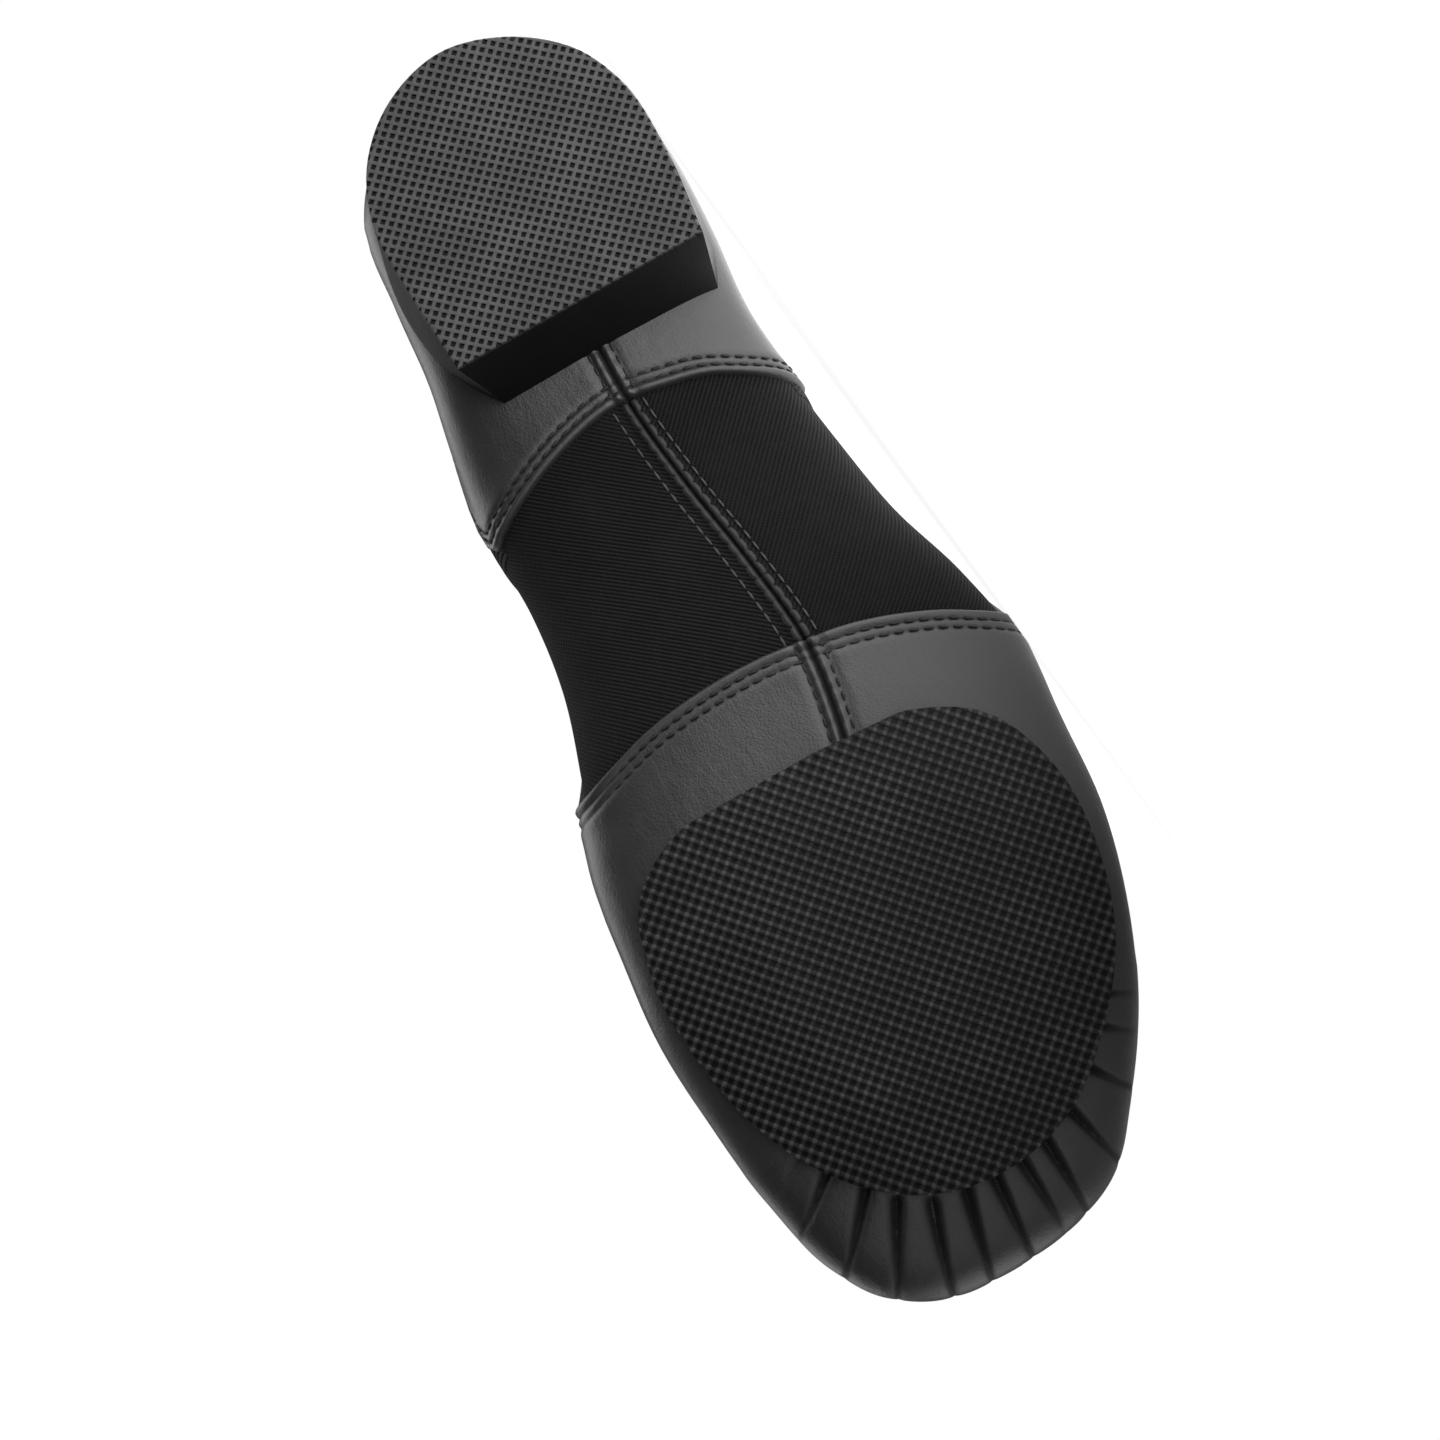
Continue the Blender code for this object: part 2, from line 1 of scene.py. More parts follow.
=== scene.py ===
"""Leathers, stretch cloth, stitches and treads of a slip-on jazz shoe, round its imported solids.

Sizes are in metres. The shoe is worked out as it stands: +X to the toe, +Y to the inner side of the foot,
the ground at Z = 0. POSE then lays each finished mesh on the shoe's outer side, where the solids lie.
"""

import math
from collections import namedtuple

import bmesh
import bpy
import numpy as np
from bpy.props import FloatProperty, FloatVectorProperty, PointerProperty
from mathutils import Matrix, Vector
from mathutils.bvhtree import BVHTree


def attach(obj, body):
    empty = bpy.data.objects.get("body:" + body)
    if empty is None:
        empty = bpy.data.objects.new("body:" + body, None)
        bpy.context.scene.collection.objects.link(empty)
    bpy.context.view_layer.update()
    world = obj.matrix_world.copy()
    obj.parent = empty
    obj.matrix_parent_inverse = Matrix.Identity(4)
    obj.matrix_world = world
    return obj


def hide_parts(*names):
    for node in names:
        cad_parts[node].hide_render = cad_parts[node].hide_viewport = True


bl_info = {
    "name": "Jazz Shoe",
    "version": (1, 0, 0),
    "blender": (4, 5, 0),
    "location": "View3D > Sidebar > Jazz Shoe",
    "description": "Adds the leathers, cloth, stitches and treads of a slip-on jazz shoe",
    "category": "Add Mesh",
}

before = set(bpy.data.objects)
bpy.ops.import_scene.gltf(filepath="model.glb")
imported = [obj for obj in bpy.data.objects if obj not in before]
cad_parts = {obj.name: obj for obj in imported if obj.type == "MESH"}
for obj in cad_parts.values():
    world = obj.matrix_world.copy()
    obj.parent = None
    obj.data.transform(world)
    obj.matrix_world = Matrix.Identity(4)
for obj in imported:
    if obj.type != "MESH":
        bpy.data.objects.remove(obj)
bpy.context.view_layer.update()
MM = 0.001

# How the standing shoe is laid on its outer side
POSE = Matrix((
    (-0.995008, 0.099263, 0.010252, 0.120319),
    (0.0, -0.102739, 0.994708, -0.037863),
    (0.099791, 0.989743, 0.102226, 0.025161),
    (0.0, 0.0, 0.0, 1.0),
))

# The last, which is the inside of the upper, with the same sizes as the solids
LAST_LENGTH = 0.2474
BALL_WIDTH = 0.089
HEEL_WIDTH = 0.058
INSTEP_HEIGHT = 0.078
COLLAR_BACK_HEIGHT = 0.066
COLLAR_SIDE_HEIGHT = 0.056
COLLAR_LOWEST = 0.2
HEEL_OVERHANG = 0.0018
LEATHER = 0.0022
CLOTH = 0.0012
LINING = 0.0005
INSOLE = 0.0018
LEATHER_WALL = 0.0009
ARCH_TUCK = 0.005
GORE_TUCK = 0.003
WELD = 0.00004
ARCH_WALL = 0.0006
GORE_WALL = 0.0005
FOLD_WALL = 0.00025
FOLD_WELD = 0.00003
THREAD_WIDTH = 0.00062
WORN_THREAD_WIDTH = 0.00045
HEEL_HEIGHT = 0.0145
HEEL_LENGTH = 0.0558
BREAST_SLANT = 0.0052
SOLE_THICKNESS = 0.0021
SOLE_EDGE = 0.0014
CLEARANCE = 0.0003
HEEL_CENTRE = 0.12
HEEL_EASE = 0.05
TOE_CENTRE = 0.80
TOE_EASE = 0.06
WIDEN_START = 0.3
WIDEN_SPAN = 0.3
THROAT = 0.41
SOLE_CENTRE = 0.767

Outline = namedtuple("Outline", "along inner outer")
OUTLINE = [Outline(*row) for row in (
    (0.000, 0.000, 0.000),
    (0.0275, 0.371, 0.371),
    (0.063, 0.474, 0.462),
    (0.131, 0.516, 0.502),
    (0.200, 0.540, 0.494),
    (0.268, 0.595, 0.469),
    (0.335, 0.622, 0.483),
    (0.398, 0.555, 0.465),
    (0.472, 0.498, 0.432),
    (0.541, 0.496, 0.437),
    (0.6135, 0.543, 0.448),
    (0.678, 0.565, 0.431),
    (0.747, 0.580, 0.4135),
    (0.812, 0.567, 0.365),
    (0.880, 0.535, 0.283),
    (0.945, 0.484, 0.158),
    (0.975, 0.427, 0.084),
    (0.993, 0.348, -0.022),
    (1.000, 0.170, -0.170),
)]
Profile = namedtuple("Profile", "along seam ridge_side underside widest ridge square_low square_high")
PROFILE = [Profile(*row) for row in (
    (0.00, 0.000, 0.000, 1.000, 0.40, 1.42, 4.4, 2.0),
    (0.12, 0.000, 0.000, 1.000, 0.39, 1.42, 4.4, 2.0),
    (0.22, 0.005, 0.000, 1.000, 0.38, 1.32, 4.2, 2.0),
    (0.30, 0.008, 0.005, 1.080, 0.39, 1.16, 3.2, 2.0),
    (0.38, -0.015, 0.010, 0.980, 0.40, 1.03, 2.6, 2.0),
    (0.46, -0.048, 0.015, 0.640, 0.36, 0.93, 2.5, 2.0),
    (0.54, -0.067, 0.025, 0.280, 0.27, 0.82, 2.6, 2.0),
    (0.61, -0.040, 0.035, 0.080, 0.21, 0.70, 2.9, 2.05),
    (0.70, 0.034, 0.060, 0.000, 0.185, 0.57, 3.1, 2.1),
    (0.80, 0.090, 0.090, 0.000, 0.19, 0.48, 3.1, 2.2),
    (0.90, 0.090, 0.090, 0.000, 0.20, 0.48, 3.0, 2.3),
    (1.00, 0.090, 0.090, 0.000, 0.21, 0.48, 2.8, 2.4),
)]

# Edges of the pieces along the foot, from the seam underneath (turn 0) past the widest line (1) to the
# collar or the ridge (2), for the inner and the outer side
Edge = namedtuple("Edge", "turn quarter_inner quarter_outer vamp_inner vamp_outer gore_inner gore_outer")
EDGES = [Edge(*row) for row in (
    (0.00, 0.298, 0.298, 0.536, 0.536, 0.298, 0.298),
    (0.20, 0.302, 0.304, 0.531, 0.541, 0.302, 0.304),
    (0.45, 0.314, 0.313, 0.532, 0.553, 0.314, 0.313),
    (0.65, 0.328, 0.328, 0.539, 0.567, 0.328, 0.328),
    (0.80, 0.340, 0.339, 0.551, 0.581, 0.340, 0.339),
    (0.88, 0.344, 0.344, 0.558, 0.588, 0.344, 0.344),
    (1.00, 0.275, 0.350, 0.560, 0.592, 0.358, 0.350),
    (1.30, 0.245, 0.262, 0.480, 0.490, 0.378, 0.376),
    (1.65, 0.225, 0.225, 0.408, 0.410, 0.380, 0.380),
    (2.00, 0.210, 0.210, 0.378, 0.378, 0.372, 0.372),
)]

# Folds of the gathered toe: direction from the toe's centre at the sole's edge and at the widest line in
# degrees, inner side positive, the turn where each ends, and its depth in metres
Pleat = namedtuple("Pleat", "near far end depth")
PLEATS = [Pleat(*row) for row in (
    (64.5, 62.0, 0.88, 0.0004),
    (55.3, 52.4, 0.97, 0.0010),
    (43.1, 41.8, 1.06, 0.0013),
    (34.4, 31.7, 1.10, 0.0014),
    (24.9, 21.9, 1.12, 0.0014),
    (14.9, 14.7, 1.14, 0.0013),
    (6.0, 5.3, 1.10, 0.0014),
    (-3.1, -2.8, 0.95, 0.0011),
    (-12.6, -7.9, 1.12, 0.0014),
    (-24.4, -19.8, 1.10, 0.0014),
    (-37.7, -36.2, 1.00, 0.0012),
    (-50.5, -50.5, 0.92, 0.0010),
    (-60.0, -61.0, 0.92, 0.0010),
    (-68.0, -69.5, 0.82, 0.0008),
    (-72.5, -74.5, 0.84, 0.0003),
    (-76.0, -78.0, 0.84, 0.0003),
)]
PLEAT_START = 0.61
PLEAT_EASE = 0.14
PLEAT_HALF_WIDTH = 0.00085
LOBE_HEIGHT = 0.00025
TOE_SWELL = 0.0006
SWELL_REACH = (-30.0, 10.0)

# Rise of a turned and twice stitched leather edge over the last, and of the middle seam, by distance
Rise = namedtuple("Rise", "away lift")
EDGE_RISE = [Rise(*row) for row in (
    (0.0, 1.15), (0.12, 1.75), (0.3, 2.15), (0.6, 2.50), (1.0, 2.66), (1.45, 2.55), (1.9, 2.28),
    (2.2, 2.08), (2.55, 2.26), (3.05, 2.42), (3.5, 2.32), (3.8, 2.16), (4.05, 2.08), (4.5, 2.28),
    (5.2, 2.40), (6.2, 2.34), (8.0, 2.24), (10.0, 2.20),
)]
SEAM_RISE = [Rise(*row) for row in (
    (0.0, -1.00), (0.25, -0.60), (0.6, 0.12), (1.1, 0.48), (1.6, 0.36), (2.0, 0.0), (2.4, -0.24),
    (2.9, -0.06), (3.8, 0.06), (5.5, 0.0), (60.0, 0.0),
)]

# Tread outlines, as shares of the last's length and of the ball or heel width
Place = namedtuple("Place", "along across")
SOLE_OUTLINE = [Place(*row) for row in (
    (0.614, 0.056), (0.621, -0.180), (0.648, -0.309), (0.707, -0.382), (0.775, -0.376), (0.836, -0.318),
    (0.889, -0.202), (0.925, -0.079), (0.942, 0.090), (0.933, 0.247), (0.897, 0.388), (0.840, 0.489),
    (0.771, 0.539), (0.698, 0.542), (0.646, 0.489), (0.620, 0.382), (0.612, 0.225),
)]
HEEL_SEAT = [Place(*row) for row in (
    (1.000, 0.370), (0.900, 0.440), (0.780, 0.496), (0.620, 0.524), (0.430, 0.512), (0.260, 0.455),
    (0.130, 0.360), (0.020, 0.200), (-0.020, 0.000), (0.020, -0.200), (0.130, -0.360), (0.260, -0.445),
    (0.430, -0.494), (0.620, -0.508), (0.780, -0.500), (0.900, -0.480), (1.000, -0.435),
)]
HEEL_TREAD = [Place(*row) for row in (
    (1.000, 0.440), (0.680, 0.460), (0.410, 0.455), (0.230, 0.385), (0.090, 0.255), (0.000, 0.000),
    (0.090, -0.255), (0.230, -0.400), (0.410, -0.474), (0.680, -0.488), (1.000, -0.457),
)]

SIDES = {"inner": 1.0, "outer": -1.0}
RING_STEPS = 700
TURN_STEPS = 120
LEAST_STEP = 0.000025


class Curve:
    """Smooth curve through values, numbers or points, at rising knots."""

    def __init__(self, knots, values):
        self.knots = np.asarray(knots, float)
        self.values = np.asarray(values, float)
        self.slopes = np.gradient(self.values, self.knots, axis=0)

    def at(self, places):
        """Values at places, held at the ends."""
        knots = self.knots
        places = np.clip(np.asarray(places, float), knots[0], knots[-1])
        k = np.clip(np.searchsorted(knots, places, side="right") - 1, 0, len(knots) - 2)
        span = knots[k + 1] - knots[k]
        t = (places - knots[k]) / span
        if self.values.ndim > 1:
            span, t = span[..., None], t[..., None]
        start = (1 + 2 * t) * (1 - t) ** 2 * self.values[k] + t * (1 - t) ** 2 * span * self.slopes[k]
        end = t * t * (3 - 2 * t) * self.values[k + 1] + t * t * (t - 1) * span * self.slopes[k + 1]
        return start + end


def table_curves(table):
    """Curve of each named column of a table, along its first column."""
    knots = [row[0] for row in table]
    return {name: Curve(knots, [getattr(row, name) for row in table]) for name in table[0]._fields[1:]}


PROFILE_CURVES = table_curves(PROFILE)
EDGE_CURVES = table_curves(EDGES)
EDGE_LIFT = table_curves(EDGE_RISE)["lift"]
SEAM_LIFT = table_curves(SEAM_RISE)["lift"]


def ease(t):
    """Ease from 0 to 1."""
    t = np.clip(t, 0.0, 1.0)
    return t * t * (3 - 2 * t)


def run_lengths(points):
    """Length of a line up to each of its points."""
    return np.concatenate([[0.0], np.cumsum(np.linalg.norm(np.diff(points, axis=0), axis=1))])


def place_x(along):
    """Turn a share of the last's length into X."""
    return along * LAST_LENGTH - HEEL_OVERHANG


def share_of(x):
    """Turn X into a share of the last's length."""
    return (x + HEEL_OVERHANG) / LAST_LENGTH


def width_at(along):
    """Go over from the heel's width to the ball's."""
    return HEEL_WIDTH + (BALL_WIDTH - HEEL_WIDTH) * ease((along - WIDEN_START) / WIDEN_SPAN)


def side_outline(side):
    """Curve of one side of the outline, from 0 at the heel's back to 1 at the toe's tip."""
    other = "outer" if side == "inner" else "inner"

    def point(row, name):
        return place_x(row.along), SIDES[name] * getattr(row, name) * width_at(row.along)

    points = [point(OUTLINE[1], other)]
    points += [point(row, side) for row in OUTLINE]
    points.append(point(OUTLINE[-2], other))
    points = np.array(points)
    knots = run_lengths(points)
    return Curve((knots - knots[1]) / (knots[-2] - knots[1]), points)


OUTLINES = {side: side_outline(side) for side in SIDES}
STATIONS = np.linspace(0, 1, RING_STEPS + 1)
STATION_X = {side: OUTLINES[side].at(STATIONS)[:, 0] for side in SIDES}


def station_of(side, along):
    """Stations on a side's outline at shares of the last's length."""
    return np.interp(place_x(along), STATION_X[side], STATIONS)


def spine_share(along):
    """Place of a section's middle: it follows the outline, and stays put round heel and toe."""
    if along < HEEL_CENTRE + HEEL_EASE:
        along = max(along, HEEL_CENTRE - HEEL_EASE)
        return along + (HEEL_CENTRE + HEEL_EASE - along) ** 2 / (4 * HEEL_EASE)
    if along > TOE_CENTRE - TOE_EASE:
        along = min(along, TOE_CENTRE + TOE_EASE)
        return along - (along - TOE_CENTRE + TOE_EASE) ** 2 / (4 * TOE_EASE)
    return along


def collar_height(along):
    """Height of the collar's edge: low at the ankle, up to the ridge at the throat."""
    throat_height = INSTEP_HEIGHT * PROFILE_CURVES["ridge"].at(THROAT)
    if along < COLLAR_LOWEST:
        drop = ease(along / COLLAR_LOWEST)
        return COLLAR_BACK_HEIGHT + (COLLAR_SIDE_HEIGHT - COLLAR_BACK_HEIGHT) * drop
    rise = (along - COLLAR_LOWEST) / (THROAT - COLLAR_LOWEST)
    return COLLAR_SIDE_HEIGHT + (throat_height - COLLAR_SIDE_HEIGHT) * rise ** 2


def arc_points(edge, hub, widest, end, square, start_angle):
    """Points at even steps from the section's middle, or the collar, out to the widest line."""
    angles = np.linspace(start_angle, math.pi / 2, TURN_STEPS + 1)
    outward = np.sin(angles) ** (2 / square)
    upward = np.maximum(np.cos(angles), 0.0) ** (2 / square)
    reach = math.hypot(edge[0] - hub[0], edge[1] - hub[1])
    height = widest + (end - widest) * upward
    lengths = np.concatenate([[0.0], np.cumsum(np.hypot(np.diff(outward * reach), np.diff(height)))])
    even = np.linspace(0, lengths[-1], TURN_STEPS + 1)
    out = np.interp(even, lengths, outward)
    xy = np.asarray(hub) + (np.asarray(edge) - np.asarray(hub)) * out[:, None]
    return np.column_stack([xy, np.interp(even, lengths, height)])


def section_points(edge):
    """One section of the last, from the seam underneath out to the widest line and up to the top."""
    along = share_of(edge[0])
    middle = spine_share(along)
    read = {name: curve.at(middle) for name, curve in PROFILE_CURVES.items()}
    widest = INSTEP_HEIGHT * PROFILE_CURVES["widest"].at(along)
    seat = HEEL_HEIGHT + CLEARANCE + LEATHER
    base = SOLE_THICKNESS + CLEARANCE + LEATHER
    low = base + (seat - base) * read["underside"]
    under_hub = (place_x(middle), BALL_WIDTH * read["seam"])
    lower = arc_points(edge, under_hub, widest, low, PROFILE_CURVES["square_low"].at(along), 0.0)
    high = INSTEP_HEIGHT * read["ridge"]
    over_hub = (place_x(middle), BALL_WIDTH * read["ridge_side"])
    square = PROFILE_CURVES["square_high"].at(along)
    start_angle = 0.0
    if along < THROAT:
        rise = (collar_height(along) - widest) / (high - widest)
        start_angle = math.pi / 2 - math.asin(min(1.0, rise) ** (square / 2))
    upper = arc_points(edge, over_hub, widest, high, square, start_angle)[::-1]
    return np.concatenate([lower, upper[1:]])


class Last:
    """Fine net over the last, round the foot and from underneath to the top, with its normals."""

    def __init__(self):
        rows = {side: np.array([section_points(edge) for edge in OUTLINES[side].at(STATIONS)])
                for side in SIDES}
        self.points = np.concatenate([rows["inner"][:-1], rows["outer"][:0:-1]])
        along = np.roll(self.points, -1, axis=0) - np.roll(self.points, 1, axis=0)
        around = np.gradient(self.points, axis=1)
        normals = -np.cross(along, around)
        sizes = np.linalg.norm(normals, axis=2)
        normals /= np.maximum(sizes, 1e-15)[..., None]
        for turn in (1, 0):
            normals[:, turn] = normals[:, 2]
        closed = share_of(self.points[:, TURN_STEPS, 0]) > THROAT + 0.01
        for turn in (-2, -1):
            normals[closed, turn] = normals[closed, -3]
        ridge = np.gradient(self.points[:, -1], axis=0)
        closed &= np.abs(ridge[:, 0]) > LEAST_STEP
        upward = np.stack([-ridge[:, 2], np.zeros(len(ridge)), ridge[:, 0]], axis=1)
        upward *= np.sign(ridge[:, :1]) / np.maximum(np.linalg.norm(upward, axis=1), 1e-9)[:, None]
        normals[closed, -1] = upward[closed]
        self.normals = normals
        steps = np.linalg.norm(np.diff(self.points, axis=1), axis=2)
        self.girths = np.concatenate([np.zeros((len(steps), 1)), np.cumsum(steps, axis=1)], axis=1)

    def read(self, field, side, stations, turns):
        """Values of a field of the net at stations of a side and turns."""
        count = len(self.points)
        place = RING_STEPS * np.asarray(stations, float)
        if side == "outer":
            place = count - place
        height = np.asarray(turns, float) * TURN_STEPS
        k = np.floor(place).astype(int)
        t = np.clip(np.floor(height).astype(int), 0, 2 * TURN_STEPS - 1)
        a, b = place - k, height - t
        if field.ndim > 2:
            a, b = a[..., None], b[..., None]
        near = field[k % count, t] * (1 - b) + field[k % count, t + 1] * b
        far = field[(k + 1) % count, t] * (1 - b) + field[(k + 1) % count, t + 1] * b
        return near * (1 - a) + far * a

    def surface(self, side, stations, turns, lift):
        """Points at a height over the last."""
        points = self.read(self.points, side, stations, turns)
        normals = self.read(self.normals, side, stations, turns)
        normals /= np.maximum(np.linalg.norm(normals, axis=-1), 1e-9)[..., None]
        return points + normals * np.asarray(lift)[..., None]


LAST = Last()
TOE_HUB = np.array((place_x(TOE_CENTRE), BALL_WIDTH * PROFILE_CURVES["seam"].at(TOE_CENTRE)))


def colour_setting(name, description, default):
    """Setting for a colour."""
    return FloatVectorProperty(name=name, description=description, subtype="COLOR", size=3,
                               default=default, min=0.0, max=1.0)


def length_setting(name, description, default, least):
    """Setting for a length in metres."""
    return FloatProperty(name=name, description=description, default=default, min=least, unit="LENGTH")


class JazzShoeSettings(bpy.types.PropertyGroup):
    """Sizes and colours of the shoe that a user would change."""

    leather_colour: colour_setting("Leather", "Colour of the leather", (0.012, 0.012, 0.0125))
    cloth_colour: colour_setting("Stretch cloth", "Colour of the twill under the arch",
                                 (0.005, 0.005, 0.0055))
    elastic_colour: colour_setting("Elastic", "Colour of the ribbed gores", (0.012, 0.012, 0.013))
    rubber_colour: colour_setting("Rubber", "Colour of the heel and the sole", (0.05, 0.05, 0.05))
    thread_colour: colour_setting("Thread", "Colour of the stitches", (0.006, 0.006, 0.006))
    worn_thread_colour: colour_setting("Worn thread", "Colour of the arch's stitches", (0.03, 0.03, 0.032))
    lining_colour: colour_setting("Lining", "Colour of the lining and the insole", (0.03, 0.03, 0.032))
    stitch_pitch: length_setting("Stitch pitch", "Distance from stitch to stitch", 0.0027, 0.001)
    stitch_length: length_setting("Stitch length", "Length of the thread that shows", 0.0020, 0.0005)
    heel_pitch: length_setting("Heel tread pitch", "Distance between the heel's ridges", 0.00165, 0.0005)
    ball_pitch: length_setting("Sole tread pitch", "Distance between the sole's bumps", 0.00186, 0.0005)
    twill_pitch: length_setting("Twill pitch", "Distance between the twill's ribs", 0.0008, 0.0002)


def settings():
    """The shoe's sizes and colours."""
    return bpy.context.scene.jazz_shoe


# Meshes


def add_net(name, points, flip):
    """Grid primitive whose points are laid on an array of points, columns by rows."""
    columns, rows = points.shape[:2]
    bpy.ops.object.select_all(action="DESELECT")
    bpy.ops.mesh.primitive_grid_add(x_subdivisions=columns - 1, y_subdivisions=rows - 1, size=1)
    piece = bpy.context.object
    piece.name = name
    piece.data.vertices.foreach_set("co", points.transpose(1, 0, 2).astype(np.float32).ravel())
    if flip:
        piece.data.flip_normals()
    piece.data.update()
    return piece


def set_uv(piece, values):
    """Lay the UV map on an array of places, columns by rows."""
    flat = values.transpose(1, 0, 2).reshape(-1, 2)
    corners = np.zeros(len(piece.data.loops), int)
    piece.data.loops.foreach_get("vertex_index", corners)
    piece.data.uv_layers[0].uv.foreach_set("vector", flat[corners].astype(np.float32).ravel())


def set_mark(piece, name, values):
    """Store a value for each point of a net."""
    mark = piece.data.attributes.new(name, "FLOAT", "POINT")
    mark.data.foreach_set("value", values.transpose(1, 0).astype(np.float32).ravel())


def join(name, pieces, gap):
    """Join pieces into one and close the seams between them."""
    bpy.ops.object.select_all(action="DESELECT")
    for piece in pieces:
        piece.select_set(True)
    bpy.context.view_layer.objects.active = pieces[0]
    if len(pieces) > 1:
        bpy.ops.object.join()
    piece = bpy.context.object
    piece.name = name
    piece.data.name = name
    bpy.ops.object.mode_set(mode="EDIT")
    bpy.ops.mesh.select_all(action="SELECT")
    bpy.ops.mesh.remove_doubles(threshold=gap)
    bpy.ops.mesh.dissolve_degenerate(threshold=gap / 4)
    bpy.ops.object.mode_set(mode="OBJECT")
    return piece


def thicken(piece, thickness):
    """Give a sheet its wall, inwards."""
    bpy.context.view_layer.objects.active = piece
    wall = piece.modifiers.new("wall", "SOLIDIFY")
    wall.thickness = thickness
    wall.offset = -1.0
    wall.use_even_offset = False
    bpy.ops.object.modifier_apply(modifier=wall.name)


def smooth(piece, degrees):
    """Smooth shading but for sharp edges."""
    bpy.ops.object.select_all(action="DESELECT")
    piece.select_set(True)
    bpy.context.view_layer.objects.active = piece
    bpy.ops.object.shade_smooth_by_angle(angle=math.radians(degrees))


def finish_piece(piece, material, slot, *replaced):
    """Lay the mesh down with the shoe, give it its material, attach it to the root body and hide the solids
    it replaces; the slot name is not used.
    """
    piece.data.transform(POSE)
    piece.data.update()
    piece.data.materials.clear()
    piece.data.materials.append(material)
    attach(piece, "root")
    if replaced:
        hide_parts(*replaced)
    return piece


def leather_tree():
    """Search tree of the plain leather under the foot, without its seams and folds."""
    points, faces = [], []
    for side in SIDES:
        stations, turns = np.meshgrid(np.linspace(0, 1, 241), np.linspace(0, 1.1, 81), indexing="ij")
        net = LAST.surface(side, stations, turns, np.full(stations.shape, LEATHER))
        columns, rows = stations.shape
        start = len(points)
        points += net.reshape(-1, 3).tolist()
        faces += [(start + c * rows + r, start + (c + 1) * rows + r, start + (c + 1) * rows + r + 1,
                   start + c * rows + r + 1) for c in range(columns - 1) for r in range(rows - 1)]
    return BVHTree.FromPolygons(points, faces)


# The sheets of the upper

EDGE_STEPS = (0.0, 0.12, 0.3, 0.6, 1.0, 1.45, 1.9, 2.2, 2.55, 3.05, 3.5, 3.8, 4.05, 4.5, 5.0,
              *np.linspace(5.6, 18.2, 22))
EDGE_GROOVES = (2.2, 4.05)
SEAM_TURNS = (0.0, 0.005, 0.011, 0.018, 0.027, 0.036, 0.045, 0.054, 0.066, 0.085, 0.115)
SEAM_ROW = 2.4
VAMP_ROWS = (0.62, 1.30, 0.0135, 0.045)
SIDE_ROWS = (0.62, 1.10, 0.03, 0.05)
PUFF_PITCH = 0.0029


def turn_rows(fine_start, fine_end, fine, coarse):
    """Turns of a net's rows: close together at the seam and between two turns, wider elsewhere."""
    low = np.arange(SEAM_TURNS[-1] + coarse, fine_start - coarse / 2, coarse)
    middle = np.arange(fine_start, fine_end, fine)
    high = np.linspace(fine_end, 2.0, int(round((2.0 - fine_end) / coarse)) + 1)
    return np.concatenate([SEAM_TURNS, low, middle, high])


def seam_lift(side, stations, turns):
    """Rise and fall of the leather or cloth over the seam under the foot."""
    girth = LAST.read(LAST.girths, side, stations, turns) / MM
    place = LAST.read(LAST.points, side, stations, turns)[..., 0]
    puff = 0.1 + 0.9 * np.abs(np.sin(math.pi * place / PUFF_PITCH)) ** 0.6
    lift = SEAM_LIFT.at(girth)
    return np.where((girth < SEAM_ROW) & (lift > 0), lift * puff, lift) * MM


def edge_lift(away):
    """Height over the last near a turned leather edge."""
    return EDGE_LIFT.at(away / MM) * MM


def build_sheet(name, nets, wall, degrees, gap=WELD):
    """Join a sheet's nets and give it its wall and its shading."""
    sheet = join(name, nets, gap)
    thicken(sheet, wall)
    smooth(sheet, degrees)
    return sheet


def plain_sheet(name, columns, rows, lift, wall, degrees):
    """Sheet round the whole shoe at one height over the last."""
    nets = []
    for side in SIDES:
        stations = np.repeat(np.linspace(0, 1, columns)[:, None], len(rows), axis=1)
        turns = np.broadcast_to(rows, stations.shape)
        nets.append(sheet_net(name, side, stations, turns, np.full(stations.shape, lift)))
    return build_sheet(name, nets, wall, degrees)


def groove_mark(side, stations, turns, away):
    """How far each place lies down in a stitched groove or in the seam, from 0 to 1; it paints shade there
    on the leather.
    """
    mark = sum(np.exp(-((away / MM - groove) / 0.28) ** 2) for groove in EDGE_GROOVES)
    girth = LAST.read(LAST.girths, side, stations, turns) / MM
    mark += 1.4 * np.exp(-(girth / 0.45) ** 2) + np.exp(-((girth - SEAM_ROW) / 0.25) ** 2)
    return 0.6 * np.minimum(mark, 1.6)


def side_of_toe(stations, side):
    """Directions of stations from the toe's centre, in degrees."""
    away = OUTLINES[side].at(stations) - TOE_HUB
    return np.degrees(np.arctan2(away[..., 1], away[..., 0]))


